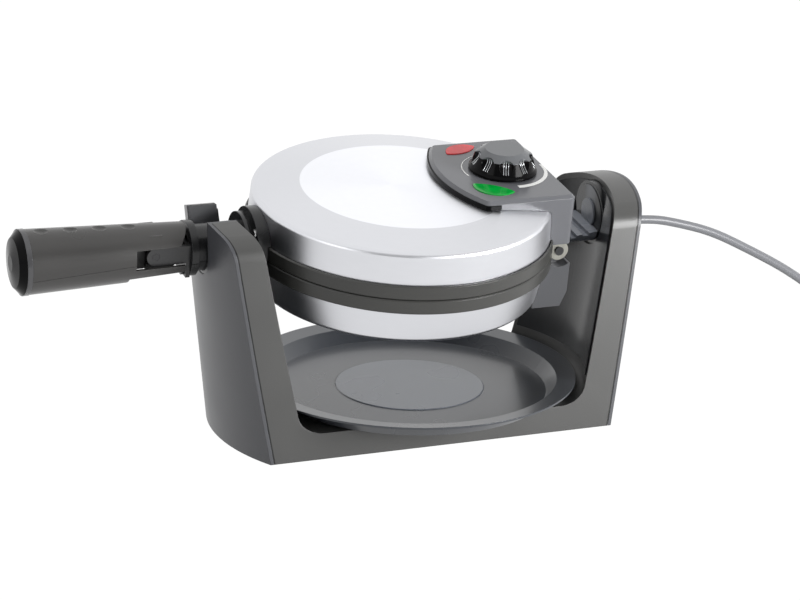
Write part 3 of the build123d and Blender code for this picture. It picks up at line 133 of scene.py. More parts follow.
class Graph:
    """Small helper that adds and joins nodes of one tree."""

    def __init__(self, tree: Tree) -> None:
        """Keeps the tree that it adds to."""
        self.tree = tree

    def add(self, kind: str, **values: object) -> bpy.types.Node:
        """Adds a node and sets its attributes.

        Args:
            kind: Blender's name of the node type.
            values: Attributes of the node.

        Returns:
            The new node.
        """
        node = self.tree.nodes.new(kind)
        for name, value in values.items():
            setattr(node, name, value)
        return node

    def join(self, source: Socket, target: Socket) -> None:
        """Links an output to an input."""
        self.tree.links.new(source, target)

    def feed(self, target: Socket, value: Number) -> None:
        """Sets an input to a number, or links an output to it."""
        if isinstance(value, (int, float)):
            target.default_value = value
        else:
            self.join(value, target)

    def math(self, operation: str, first: Number, second: Number = 0.0) -> Socket:
        """Adds a Math node.

        Args:
            operation: Blender's name of the operation.
            first: First number or output.
            second: Second number or output.

        Returns:
            The node's output.
        """
        node = self.add("ShaderNodeMath", operation=operation)
        for socket, value in zip(node.inputs, (first, second)):
            self.feed(socket, value)
        return node.outputs[0]

    def noise(self, vector: Socket, scale: Number, detail: float = 3.0) -> Socket:
        """Adds a noise texture.

        Args:
            vector: Output that gives the coordinates.
            scale: Number or output for the scale.
            detail: Octaves of detail.

        Returns:
            The texture's value.
        """
        node = self.add("ShaderNodeTexNoise")
        node.inputs["Detail"].default_value = detail
        self.join(vector, node.inputs["Vector"])
        self.feed(node.inputs["Scale"], scale)
        return node.outputs["Fac"]

    def spread(
        self, value: Socket, source: tuple[Number, Number] = (0.0, 1.0),
        target: tuple[float, float] = (0.0, 1.0), kind: str = "LINEAR",
    ) -> Socket:
        """Adds a Map Range node.

        Args:
            value: Output that is mapped.
            source: Lower and upper end of the value.
            target: Results at those ends.
            kind: Blender's name of the interpolation.

        Returns:
            The node's output.
        """
        node = self.add("ShaderNodeMapRange", interpolation_type=kind)
        self.join(value, node.inputs["Value"])
        labels = ("From Min", "From Max", "To Min", "To Max")
        for label, number in zip(labels, (*source, *target)):
            self.feed(node.inputs[label], number)
        return node.outputs[0]

    def place(self) -> Socket:
        """Gives coordinates in the object's own frame."""
        return self.add("ShaderNodeTexCoord").outputs["Object"]

    def split(self, vector: Socket) -> tuple[Socket, Socket, Socket]:
        """Splits a vector into X, Y and Z."""
        node = self.add("ShaderNodeSeparateXYZ")
        self.join(vector, node.inputs[0])
        return tuple(node.outputs)

    def reach(self, x: Socket, y: Socket) -> Socket:
        """Gives the distance from the Z axis."""
        squares = (self.math("MULTIPLY", part, part) for part in (x, y))
        return self.math("SQRT", self.math("ADD", *squares))

    def rays(self) -> tuple[Socket, Socket]:
        """Tells the rays that show the surroundings from those that only carry light.

        Returns:
            Outputs that are 1 for camera and glass rays, and for glossy rays.
        """
        path = self.add("ShaderNodeLightPath")
        direct = self.math(
            "MAXIMUM", path.outputs["Is Camera Ray"], path.outputs["Is Transmission Ray"]
        )
        return direct, path.outputs["Is Glossy Ray"]

    def levelled(self, centre: Vector, tilt: float) -> Socket:
        """Gives coordinates in the frame of a tilted axis.

        Args:
            centre: A point on the axis.
            tilt: Turn of the axis about X, away from upright.

        Returns:
            Output with the coordinates.
        """
        shift = self.add("ShaderNodeVectorMath", operation="SUBTRACT")
        self.join(self.place(), shift.inputs[0])
        shift.inputs[1].default_value = centre
        level = self.add("ShaderNodeVectorRotate", rotation_type="X_AXIS")
        level.inputs["Angle"].default_value = -tilt
        self.join(shift.outputs[0], level.inputs["Vector"])
        return level.outputs[0]


def new_group(name: str, inputs: dict[str, float], outputs: tuple[str, ...]) -> Graph:
    """Makes an empty node group with number sockets.

    Args:
        name: Name of the group.
        inputs: Names and usual values of its inputs.
        outputs: Names of its outputs.

    Returns:
        The group's graph.
    """
    tree = bpy.data.node_groups.new(name, "ShaderNodeTree")
    for label, value in inputs.items():
        socket = tree.interface.new_socket(label, in_out="INPUT", socket_type="NodeSocketFloat")
        socket.default_value = value
    for label in outputs:
        tree.interface.new_socket(label, in_out="OUTPUT", socket_type="NodeSocketFloat")
    return Graph(tree)


def grain_group() -> Tree:
    """Builds the fine grain of moulded plastic with broad soft patches.

    Returns:
        A group with Grain and Patch values.
    """
    graph = new_group("mould_grain", {"Scale": 900.0, "Patch Scale": 18.0}, ("Grain", "Patch"))
    given = graph.add("NodeGroupInput")
    made = graph.add("NodeGroupOutput")
    place = graph.place()
    for label, scale, detail in (("Grain", "Scale", 4.0), ("Patch", "Patch Scale", 2.0)):
        graph.join(graph.noise(place, given.outputs[scale], detail), made.inputs[label])
    return graph.tree


def line_group(direction: Direction, round_step: float = 0.03, squeeze: float = 0.04) -> Tree:
    """Builds the fine lines that brushing or spinning leaves in metal.

    Args:
        direction: Way that the lines run.
        round_step: Length that a radian counts for along round lines.
        squeeze: Share that a length counts for along straight lines.

    Returns:
        A group with Fine and Broad line values.
    """
    graph = new_group(
        "lines_" + direction.name.lower(), {"Fine": 2600.0, "Broad": 260.0}, ("Fine", "Broad")
    )
    given = graph.add("NodeGroupInput")
    made = graph.add("NodeGroupOutput")
    if direction is Direction.ROUND:
        x, y, z = graph.split(graph.levelled(HEAD_CENTRE, HEAD_TILT))
        turn = graph.math("ARCTAN2", y, x)
        sizes = (graph.reach(x, y), z, graph.math("MULTIPLY", turn, round_step))
    else:
        along = 0 if direction is Direction.ALONG_X else 2
        sizes = tuple(
            graph.math("MULTIPLY", part, squeeze if i == along else 1.0)
            for i, part in enumerate(graph.split(graph.place()))
        )
    merge = graph.add("ShaderNodeCombineXYZ")
    for socket, size in zip(merge.inputs, sizes):
        graph.join(size, socket)
    for label in ("Fine", "Broad"):
        graph.join(graph.noise(merge.outputs[0], given.outputs[label]), made.inputs[label])
    return graph.tree


def zone_group(name: str, centre: Vector, tilt: float, radius: float) -> Tree:
    """Builds a mask of what lies within a radius of an axis.

    Args:
        name: Name of the group.
        centre: A point on the axis.
        tilt: Turn of the axis about X, away from upright.
        radius: Radius of the zone in metres.

    Returns:
        A group with a Mask value, 1 inside the zone.
    """
    graph = new_group(name, {"Softness": 0.0006}, ("Mask",))
    given = graph.add("NodeGroupInput")
    made = graph.add("NodeGroupOutput")
    x, y, _ = graph.split(graph.levelled(centre, tilt))
    outside = graph.math("ADD", given.outputs["Softness"], radius)
    mask = graph.spread(graph.reach(x, y), (radius, outside), (1.0, 0.0), "SMOOTHSTEP")
    graph.join(mask, made.inputs["Mask"])
    return graph.tree


def scale_colour(graph: Graph, shader: bpy.types.Node, factor: Socket) -> None:
    """Makes a shader's colour lighter or darker.

    Args:
        graph: Graph of the material.
        shader: Principled node whose colour is already linked.
        factor: Output that the colour is multiplied by.
    """
    mix = graph.add("ShaderNodeVectorMath", operation="SCALE")
    graph.join(shader.inputs["Base Color"].links[0].from_socket, mix.inputs[0])
    graph.join(factor, mix.inputs["Scale"])
    graph.join(mix.outputs[0], shader.inputs["Base Color"])


def darken_seam(graph: Graph, shader: bpy.types.Node) -> None:
    """Draws the dark joint where the towers' frame meets its outer covers.

    Args:
        graph: Graph of the material.
        shader: Principled node whose colour is already linked.
    """
    x, y, z = graph.split(graph.place())
    cone = graph.math("ADD", graph.math("MULTIPLY", z, SEAM_LEAN), SEAM_RADIUS)
    depth = graph.math("SUBTRACT", cone, graph.reach(x, y))
    scale_colour(graph, shader, graph.spread(depth, SEAM_EDGES, (SEAM_SHADE, 1.0)))


@dataclass(frozen=True)
class Zone:
    """Round zone of a surface whose colour is scaled by a factor."""

    name: str
    centre: tuple[float, float, float]
    tilt: float
    radius: float
    share: float

    def apply(self, graph: Graph, shader: bpy.types.Node) -> None:
        """Tints the shader's colour inside the zone.

        Args:
            graph: Graph of the material.
            shader: Principled node whose colour is already linked.
        """
        zone = graph.add("ShaderNodeGroup", node_tree=zone_group(
            self.name, Vector(self.centre), self.tilt, self.radius
        ))
        level = graph.spread(zone.outputs["Mask"], target=(1.0, self.share))
        scale_colour(graph, shader, level)


@dataclass
class Workshop:
    """Node groups that several finishes share, built once."""

    groups: dict[str, Tree] = field(default_factory=dict)

    def grain(self) -> Tree:
        """Returns the grain group."""
        if "grain" not in self.groups:
            self.groups["grain"] = grain_group()
        return self.groups["grain"]

    def lines(self, direction: Direction) -> Tree:
        """Returns the line group for one direction.

        Args:
            direction: Way that the lines run.

        Returns:
            The shared group.
        """
        if direction.name not in self.groups:
            self.groups[direction.name] = line_group(direction)
        return self.groups[direction.name]


def start_material(name: str) -> tuple[bpy.types.Material, Graph, bpy.types.Node]:
    """Makes a material with a Principled shader.

    Args:
        name: Name of the material.

    Returns:
        The material, its graph and its Principled node.
    """
    material = bpy.data.materials.new(name)
    material.use_nodes = True
    return material, Graph(material.node_tree), material.node_tree.nodes["Principled BSDF"]


def tint(
    graph: Graph, shader: bpy.types.Node, value: Socket, low: Colour, high: Colour
) -> None:
    """Lets a value run the shader's colour between two tints.

    Args:
        graph: Graph of the material.
        shader: Principled node.
        value: Output from about 0 to 1.
        low: Colour at the lower end of the noise.
        high: Colour at the upper end of the noise.
    """
    ramp = graph.add("ShaderNodeValToRGB")
    stops = ramp.color_ramp.elements
    for stop, position, colour in zip(stops, NOISE_SPAN, (low, high)):
        stop.position = position
        stop.color = (*colour, 1.0)
    graph.join(value, ramp.inputs[0])
    graph.join(ramp.outputs[0], shader.inputs["Base Color"])


def rough(
    graph: Graph, shader: bpy.types.Node, value: Socket, low: float, high: float
) -> None:
    """Lets a value run the shader's roughness between two limits.

    Args:
        graph: Graph of the material.
        shader: Principled node.
        value: Output from about 0 to 1.
        low: Roughness at the lower end of the noise.
        high: Roughness at the upper end of the noise.
    """
    graph.join(graph.spread(value, NOISE_SPAN, (low, high)), shader.inputs["Roughness"])


def bump(
    graph: Graph, shader: bpy.types.Node, height: Socket, depth: float, edge: float = 0.0
) -> None:
    """Adds fine relief, and catches light on the edges as a moulded rounding does.

    Args:
        graph: Graph of the material.
        shader: Principled node.
        height: Output from 0 to 1.
        depth: Height of the relief in metres.
        edge: Radius of the rounding in metres.
    """
    node = graph.add("ShaderNodeBump")
    node.inputs["Distance"].default_value = depth
    if edge:
        rounding = graph.add("ShaderNodeBevel", samples=BEVEL_SAMPLES)
        rounding.inputs["Radius"].default_value = edge
        graph.join(rounding.outputs[0], node.inputs["Normal"])
    graph.join(height, node.inputs["Height"])
    graph.join(node.outputs[0], shader.inputs["Normal"])


def shaded(colour: Colour, share: float) -> Colour:
    """Returns the colour made lighter or darker by a factor."""
    return tuple(min(1.0, part * share) for part in colour)


def vary(
    graph: Graph, shader: bpy.types.Node, value: Socket,
    tints: tuple[Colour, float, float], gloss: tuple[float, float],
) -> None:
    """Lets one value run both the shader's colour and its roughness.

    Args:
        graph: Graph of the material.
        shader: Principled node.
        value: Output from about 0 to 1.
        tints: Colour, and its factors at the two ends.
        gloss: Roughness at the two ends.
    """
    colour, low, high = tints
    tint(graph, shader, value, shaded(colour, low), shaded(colour, high))
    rough(graph, shader, value, *gloss)


def new_object(name: str, data: bpy.types.ID) -> bpy.types.Object:
    """Makes an object that holds the data and links it to the scene."""
    made = bpy.data.objects.new(name, data)
    bpy.context.scene.collection.objects.link(made)
    return made


def new_tube(name: str, radius: float, roundness: int, steps: int) -> bpy.types.Curve:
    """Makes a round tube without splines.

    Args:
        name: Name of the curve.
        radius: Radius in metres.
        roundness: Steps round a quarter of the section.
        steps: Steps between two control points.

    Returns:
        The curve.
    """
    curve = bpy.data.curves.new(name, "CURVE")
    curve.dimensions = "3D"
    curve.resolution_u = steps
    curve.bevel_depth = radius
    curve.bevel_resolution = roundness
    curve.use_fill_caps = True
    return curve


def add_spline(curve: bpy.types.Curve, points: list[Vector]) -> None:
    """Adds a smooth line to a curve.

    Args:
        curve: The curve.
        points: Control points in metres.
    """
    spline = curve.splines.new("NURBS")
    spline.points.add(len(points) - 1)
    for target, point in zip(spline.points, points):
        target.co = (*point, 1.0)
    spline.order_u = 3
    spline.use_endpoint_u = True


@dataclass(frozen=True)
class MouldedPlastic:
    """Plastic or rubber with moulded grain and slightly uneven gloss."""

    name: str
    colour: Colour
    roughness: float = 0.42
    spread: float = 0.06
    scale: float = 900.0
    depth: float = 0.00004
    coat: float = 0.0
    edge: float = 0.0
    shine: float = 0.5
    zone: Zone | None = None
    seam: bool = False
    variation: float = 0.07

    def build(self, workshop: Workshop) -> bpy.types.Material:
        """Builds the material.

        Args:
            workshop: Shared node groups.

        Returns:
            The material.
        """
        material, graph, shader = start_material(self.name)
        grain = graph.add("ShaderNodeGroup", node_tree=workshop.grain())
        grain.inputs["Scale"].default_value = self.scale
        shader.inputs["Coat Weight"].default_value = self.coat
        shader.inputs["Coat Roughness"].default_value = COAT_ROUGHNESS
        shader.inputs["Specular IOR Level"].default_value = self.shine
        vary(
            graph, shader, grain.outputs["Patch"],
            (self.colour, 1.0 - self.variation, 1.0 + self.variation),
            (self.roughness - self.spread, self.roughness + self.spread),
        )
        bump(graph, shader, grain.outputs["Grain"], self.depth, self.edge)
        if self.zone:
            self.zone.apply(graph, shader)
        if self.seam:
            darken_seam(graph, shader)
        return material


@dataclass(frozen=True)
class LinedMetal:
    """Metal with the fine lines of brushing, spinning or machining."""

    name: str
    colour: Colour
    direction: Direction = Direction.ALONG_X
    roughness: float = 0.3
    spread: float = 0.07
    fine: float = 2600.0
    depth: float = 0.00001
    stretch: float = 0.0
    variation: float = 0.08
    zone: Zone | None = None

    def build(self, workshop: Workshop) -> bpy.types.Material:
        """Builds the material.

        Args:
            workshop: Shared node groups.

        Returns:
            The material.
        """
        material, graph, shader = start_material(self.name)
        lines = graph.add("ShaderNodeGroup", node_tree=workshop.lines(self.direction))
        lines.inputs["Fine"].default_value = self.fine
        shader.inputs["Metallic"].default_value = 1.0
        shader.inputs["Anisotropic"].default_value = self.stretch
        vary(
            graph, shader, lines.outputs["Broad"],
            (self.colour, 1.0 - self.variation, 1.0 + self.variation),
            (self.roughness - self.spread, self.roughness + self.spread),
        )
        bump(graph, shader, lines.outputs["Fine"], self.depth)
        if self.stretch:
            tangent = graph.add("ShaderNodeTangent", direction_type="RADIAL", axis="Z")
            graph.join(tangent.outputs[0], shader.inputs["Tangent"])
        if self.zone:
            self.zone.apply(graph, shader)
        return material


@dataclass(frozen=True)
class ClearLens:
    """Coloured clear plastic of a pilot lamp."""

    name: str
    colour: Colour
    glow: float = 0.1
    patches: float = 120.0
    dark: float = 0.6
    light: float = 1.35
    gloss: tuple[float, float] = (0.08, 0.16)
    coat: float = 0.15
    coat_roughness: float = 0.03
    shine: float = 0.3

    def build(self, workshop: Workshop) -> bpy.types.Material:
        """Builds the material.

        Args:
            workshop: Shared node groups.

        Returns:
            The material.
        """
        material, graph, shader = start_material(self.name)
        grain = graph.add("ShaderNodeGroup", node_tree=workshop.grain())
        grain.inputs["Patch Scale"].default_value = self.patches
        vary(
            graph, shader, grain.outputs["Patch"],
            (self.colour, self.dark, self.light), self.gloss,
        )
        shader.inputs["Coat Weight"].default_value = self.coat
        shader.inputs["Coat Roughness"].default_value = self.coat_roughness
        shader.inputs["Specular IOR Level"].default_value = self.shine
        shader.inputs["Emission Color"].default_value = (*self.colour, 1.0)
        shader.inputs["Emission Strength"].default_value = self.glow
        return material


Finish = MouldedPlastic | LinedMetal | ClearLens


def dress(frame: dict, finish: Finish, workshop: Workshop, names: tuple[str, ...]) -> None:
    """Gives CAD nodes a finish.

    Args:
        frame: The loaded frame.
        finish: Finish that they take.
        workshop: Shared node groups.
        names: The CAD nodes.
    """
    material = finish.build(workshop)
    for name in names:
        for slot in frame["nodes"][name].material_slots:
            slot.link = "DATA"
            slot.material = material
    LOG.info("%s on %s", finish.name, ", ".join(names))


@dataclass(frozen=True)
class Lamp:
    """Soft rectangular lamp.

    Its power is in watts, and a lamp that isn't mirrored doesn't show in glossy surfaces.
    """

    name: str
    place: tuple[float, float, float]
    size: tuple[float, float]
    power: float
    mirrored: bool = True

    def build(self, aim: Vector) -> None:
        """Hangs the lamp.

        Args:
            aim: Point that it looks at.
        """
        data = bpy.data.lights.new(self.name, "AREA")
        data.shape = "RECTANGLE"
        data.size, data.size_y = self.size
        data.energy = self.power
        lamp = new_object(self.name, data)
        lamp.location = self.place
        lamp.visible_glossy = self.mirrored
        look = aim - Vector(self.place)
        lamp.rotation_euler = look.to_track_quat("-Z", "Y").to_euler()


@dataclass
class Studio:
    """Camera, white surroundings and soft lamps."""

    azimuth: float = 22.895
    elevation: float = 17.886
    roll: float = 1.798
    distance: float = 2.1198
    focal_px: float = 3029.8
    centre_px: tuple[float, float] = (412.1, 295.25)
    target: tuple[float, float, float] = (0.0, 0.0, 0.09)
    sensor: float = 36.0
    picture: tuple[int, int] = (800, 600)
    floor_size: float = 12.0
    floor_grey: float = 0.5
    floor_roughness: float = 0.9
    floor_glow: float = 1.05
    floor_white: float = 0.97
    soft_level: float = 0.34
    front_level: float = 0.25
    back_level: float = 1.1
    room_rise: float = 0.5
    room_span: tuple[float, float] = (-0.7, 0.15)
    lamp_aim: tuple[float, float, float] = (0.0, 0.0, 0.1)
    lamp_rows: tuple[Lamp, ...] = (
        Lamp("key", (0.85, -1.1, 0.36), (0.6, 0.6), 24.0),
        Lamp("fill", (-1.7, -0.8, 0.5), (0.8, 0.8), 4.0),
        Lamp("top", (-0.1, 0.6, 1.6), (1.4, 0.8), 12.0, mirrored=False),
    )

    def camera(self) -> None:
        """Places the camera at the photograph's point of view."""
        az, el, roll = map(math.radians, (self.azimuth, self.elevation, self.roll))
        back = Vector(
            (-math.sin(az) * math.cos(el), -math.cos(az) * math.cos(el), math.sin(el))
        )
        right = Vector((math.cos(az), -math.sin(az), 0.0))
        up = back.cross(right)
        turned_right = right * math.cos(roll) + up * math.sin(roll)
        turned_up = up * math.cos(roll) - right * math.sin(roll)
        data = bpy.data.cameras.new("camera")
        width, height = self.picture
        data.sensor_width = self.sensor
        data.lens = self.focal_px / width * self.sensor
        data.shift_x = -(self.centre_px[0] - width / 2) / width
        data.shift_y = (self.centre_px[1] - height / 2) / width
        camera = new_object("camera", data)
        turn = Matrix((turned_right, turned_up, back)).transposed().to_4x4()
        camera.matrix_world = Matrix.Translation(
            Vector(self.target) + back * self.distance
        ) @ turn
        bpy.context.scene.camera = camera
        LOG.info("camera placed")

    def world(self) -> None:
        """Makes the white room, darker in front, that lights and mirrors."""
        world = bpy.data.worlds.new("studio")
        world.use_nodes = True
        bpy.context.scene.world = world
        graph = Graph(world.node_tree)
        background = world.node_tree.nodes["Background"]
        background.inputs["Color"].default_value = (1.0, 1.0, 1.0, 1.0)
        _, y, z = graph.split(graph.add("ShaderNodeTexCoord").outputs["Generated"])
        room = graph.spread(
            graph.math("ADD", y, graph.math("MULTIPLY", z, self.room_rise)),
            self.room_span, (self.front_level, self.back_level), "SMOOTHSTEP",
        )
        direct, glossy = graph.rays()
        plain = graph.math("MULTIPLY", direct, self.back_level - self.soft_level)
        shown = graph.math("MULTIPLY", glossy, graph.math("SUBTRACT", room, self.soft_level))
        graph.join(
            graph.math("ADD", graph.math("ADD", plain, shown), self.soft_level),
            background.inputs["Strength"],
        )

    def floor(self) -> None:
        """Lays the white floor, which looks as bright as the room."""
        material, graph, shader = start_material("white_paper")
        shader.inputs["Base Color"].default_value = (*[self.floor_grey] * 3, 1.0)
        shader.inputs["Roughness"].default_value = self.floor_roughness
        glow = graph.add("ShaderNodeEmission")
        glow.inputs["Strength"].default_value = self.floor_glow
        mix = graph.add("ShaderNodeMixShader")
        seen = graph.math("MAXIMUM", *graph.rays())
        graph.join(graph.math("MULTIPLY", seen, self.floor_white), mix.inputs[0])
        graph.join(shader.outputs[0], mix.inputs[1])
        graph.join(glow.outputs[0], mix.inputs[2])
        out = material.node_tree.nodes["Material Output"]
        graph.join(mix.outputs[0], out.inputs["Surface"])
        half = self.floor_size / 2
        mesh = bpy.data.meshes.new("floor")
        mesh.from_pydata(
            [(-half, -half, 0.0), (half, -half, 0.0), (half, half, 0.0), (-half, half, 0.0)],
            [], [(0, 1, 2, 3)],
        )
        mesh.materials.append(material)
        floor = new_object("floor", mesh)

    def build(self) -> None:
        """Sets up the whole studio."""
        bpy.context.scene.view_settings.view_transform = "Standard"
        self.camera()
        self.world()
        self.floor()
        for lamp in self.lamp_rows:
            lamp.build(Vector(self.lamp_aim))


@dataclass
class MainsCord:
    """Free mains cord from the gland over the table into its coil and up to the plug."""

    radius: float = 3.2
    height: float = 131.0
    flat: float = 3.25
    coil_radius: float = 38.0
    coil_step: float = 3.6
    coil_lift: float = 7.0
    flat_turns: int = 4
    top_turns: int = 3
    turn_points: int = 6
    plug_height: float = 18.55
    lead_step: float = 20.0
    roundness: int = 4
    steps: int = 6
    finish: MouldedPlastic = MouldedPlastic(
        "cord_rubber", srgb(112, 113, 117), roughness=0.34, spread=0.05, scale=1400.0,
        depth=0.000006,
    )

    def route(self) -> list[tuple[float, float, float]]:
        """Lists the free run's control points, in millimetres."""
        return [
            (152.0, 0.0, self.height), (182.0, 0.0, self.height), (208.0, 0.4, 124.6),
            (236.0, 1.4, 115.5), (268.0, 3.2, 98.7), (300.0, 5.8, 80.8), (330.0, 9.0, 60.0),
            (354.0, 12.2, 38.0), (378.0, 15.4, 17.5), (402.0, 18.0, 6.0),
            (428.0, 19.4, self.flat), (454.0, 19.4, self.flat),
        ]

    def coil(self, start: Vector) -> list[Vector]:
        """Winds the spare cord in half turns of changing size.

        Args:
            start: Where the coil begins.

        Returns:
            Control points up to the coil's end, in millimetres.
        """
        points = []
        here = start.copy()
        radius = self.coil_radius
        step = math.pi / self.turn_points
        reach = 2.0 / (1.0 + math.cos(step / 2) ** 2)
        for number in range(self.flat_turns + 1 + self.top_turns):
            if 0 < number <= self.flat_turns:
                radius -= self.coil_step
            elif number == self.flat_turns + 1:
                radius += self.coil_step / 2
            elif number > self.flat_turns:
                radius += self.coil_step
            way = 1 if number % 2 == 0 else -1
            lift = self.coil_lift if number == self.flat_turns else 0.0
            for i in range(self.turn_points):
                angle = step * (i + 0.5)
                share = (1.0 - math.cos(angle)) / 2
                points.append(here + Vector((
                    way * radius * reach * math.sin(angle),
                    way * radius * (1.0 - reach * math.cos(angle)),
                    lift * share,
                )))
            here = here + Vector((0.0, way * 2 * radius, lift))
        points.append(here + Vector((2 * self.radius, 0.0, 0.0)))
        return points

    def build(self, frame: dict, workshop: Workshop) -> None:
        """Args:
            frame: The loaded frame; not used.
            workshop: Shared node groups.
        """
        route = [Vector(point) for point in self.route()]
        start = route[-1] + Vector((2 * self.radius, 0.0, 0.0))
        wound = self.coil(start)
        end = wound[-1]
        rise = self.plug_height - end.z
        lead = [
            end + Vector((step * self.lead_step, 0.0, lift))
            for step, lift in ((1, 0.0), (2, rise), (3, rise))
        ]
        points = [point * MM for point in route + wound + lead]
        curve = new_tube("mains_cord_curve", self.radius * MM, self.roundness, self.steps)
        add_spline(curve, points)
        curve.materials.append(self.finish.build(workshop))
        cord = new_object("free_cord", curve)
        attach(cord, "stand")
        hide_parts("mains_cord", "cord_coil", "plug_lead")
        LOG.info("free cord laid")


@dataclass
class Stand:
    """Towers, base, covers and bearings."""

    body: MouldedPlastic = MouldedPlastic(
        "stand_plastic", srgb(72, 72, 71), roughness=0.34, edge=0.0008, seam=True
    )
    cover: MouldedPlastic = MouldedPlastic(
        "cover_plastic", srgb(74, 75, 79), roughness=0.36, edge=0.0006
    )
    panel: MouldedPlastic = MouldedPlastic(
        "panel_plastic", srgb(42, 43, 45), roughness=0.2, spread=0.04, shine=0.35
    )
    dark: MouldedPlastic = MouldedPlastic(
        "dark_plastic", srgb(22, 23, 25), roughness=0.26, edge=0.0006
    )
    # The journal's neck within NECK_REACH of the head's axis is drawn 26 times lighter: partly
    # a lighter metal collar, partly painted highlight on its lit faces and edges.
    journal: MouldedPlastic = MouldedPlastic(
        "journal_plastic_neck_highlight", srgb(22, 23, 25), roughness=0.26, edge=0.0006,
        zone=Zone("neck", tuple(HEAD_CENTRE), HEAD_TILT, NECK_REACH, share=26.0),
    )
    hinge: MouldedPlastic = MouldedPlastic(
        "hinge_plastic", srgb(72, 73, 76), roughness=0.3, edge=0.0005
    )
    rubber: MouldedPlastic = MouldedPlastic("foot_rubber", srgb(28, 28, 28), roughness=0.6)
    gland: MouldedPlastic = MouldedPlastic("gland_rubber", srgb(40, 40, 42), roughness=0.4)
    screws: LinedMetal = LinedMetal("zinc_steel", srgb(190, 190, 190), roughness=0.25)
    black_steel: LinedMetal = LinedMetal("black_steel", srgb(72, 72, 73), roughness=0.3)
    pins: LinedMetal = LinedMetal("nickel_pins", srgb(205, 203, 196), roughness=0.18)

    def build(self, frame: dict, workshop: Workshop) -> None:
        """Gives the stand and the cord's end pieces their finishes.

        Args:
            frame: The loaded frame.
            workshop: Shared node groups.
        """
        dress(frame, self.body, workshop, ("stand_frame",))
        dress(frame, self.cover, workshop, ("left_cover", "right_cover"))
        dress(frame, self.panel, workshop, ("left_inner_panel", "right_inner_panel"))
        dress(frame, self.dark, workshop, (
            "base_plate", "right_bush", "lower_journal", "upper_journal",
        ))
        dress(frame, self.journal, workshop, ("right_journal",))
        dress(frame, self.hinge, workshop, ("hinge_block", "left_saddle"))
        dress(frame, self.rubber, workshop, ("rubber_feet",))
        dress(frame, self.gland, workshop, ("cord_gland", "plug_body"))
        dress(frame, self.screws, workshop, (
            "base_screws", "lower_plate_screws", "upper_plate_screws", "flange_screws",
            "lower_rivets", "upper_rivets", "drum_clip", "knob_shaft",
        ))
        dress(frame, self.black_steel, workshop, (
            "fork_screws", "grip_screws", "grip_pins", "hinge_pins",
        ))
        dress(frame, self.pins, workshop, ("plug_pins",))


@dataclass
class DripTray:
    """Dark non-stick tray."""

    finish: MouldedPlastic = MouldedPlastic(
        "tray_coating", srgb(65, 68, 73), roughness=0.28, spread=0.03, scale=1600.0,
        depth=0.00001, coat=0.15, edge=0.0007,
        zone=Zone("tray_disc", (0.0, 0.0, 0.0), 0.0, TRAY_DISC_RADIUS, share=3.0),
    )

    def build(self, frame: dict, workshop: Workshop) -> None:
        """Gives the tray its coating.

        Args:
            frame: The loaded frame.
            workshop: Shared node groups.
        """
        dress(frame, self.finish, workshop, ("drip_tray",))


@dataclass
class Head:
    """Turning head: shells, rings, waffle plates and metal fittings."""

    # Within LID_DISC_RADIUS the shells' flat top disc is drawn 1.3 times lighter than the cone
    # round it: painted brighter reflection.
    shell: LinedMetal = LinedMetal(
        "spun_steel", srgb(216, 217, 221), Direction.ROUND, roughness=0.34, spread=0.02,
        fine=3000.0, depth=0.000002, stretch=0.5, variation=0.015,
        zone=Zone("lid_disc_painted_reflection", tuple(HEAD_CENTRE), HEAD_TILT, LID_DISC_RADIUS, share=1.3),
    )
    ring: MouldedPlastic = MouldedPlastic(
        "ring_plastic", srgb(58, 58, 56), roughness=0.34, edge=0.0005
    )
    coating: MouldedPlastic = MouldedPlastic(
        "plate_coating", srgb(44, 44, 45), roughness=0.4, spread=0.05, scale=2200.0,
        depth=0.00005, coat=0.2,
    )
    element: LinedMetal = LinedMetal(
        "element_steel", srgb(120, 117, 112), Direction.ROUND, roughness=0.45
    )
    casting: LinedMetal = LinedMetal(
        "cast_metal", srgb(150, 149, 142), Direction.ALONG_Z, roughness=0.38, variation=0.35
    )
    fork: MouldedPlastic = MouldedPlastic(
        "fork_enamel", srgb(48, 48, 49), roughness=0.28, edge=0.0005
    )

    def build(self, frame: dict, workshop: Workshop) -> None:
        """Gives the head its finishes.

        Args:
            frame: The loaded frame.
            workshop: Shared node groups.
        """
        dress(frame, self.shell, workshop, ("upper_shell", "lower_shell"))
        dress(frame, self.ring, workshop, ("upper_ring", "lower_ring"))
        dress(frame, self.coating, workshop, ("upper_plate", "lower_plate"))
        dress(frame, self.element, workshop, ("upper_element", "lower_element", "thermostat"))
        dress(frame, self.casting, workshop, ("lid_bracket",))
        dress(frame, self.fork, workshop, ("grip_fork",))


@dataclass(frozen=True)
class Arc:
    """Printed arc round the knob: its radius, and its angles and widths at both ends."""

    radius: float
    angles: tuple[float, float]
    widths: tuple[float, float]

    def edges(self, share: float) -> tuple[float, float, float]:
        """Gives a place along the arc.

        Args:
            share: How far along the arc, from 0 to 1.

        Returns:
            The angle there, and the inner and the outer radius.
        """
        start, end = map(math.radians, self.angles)
        first, last = self.widths
        half = (first + share * (last - first)) / 2
        return start + share * (end - start), self.radius - half, self.radius + half


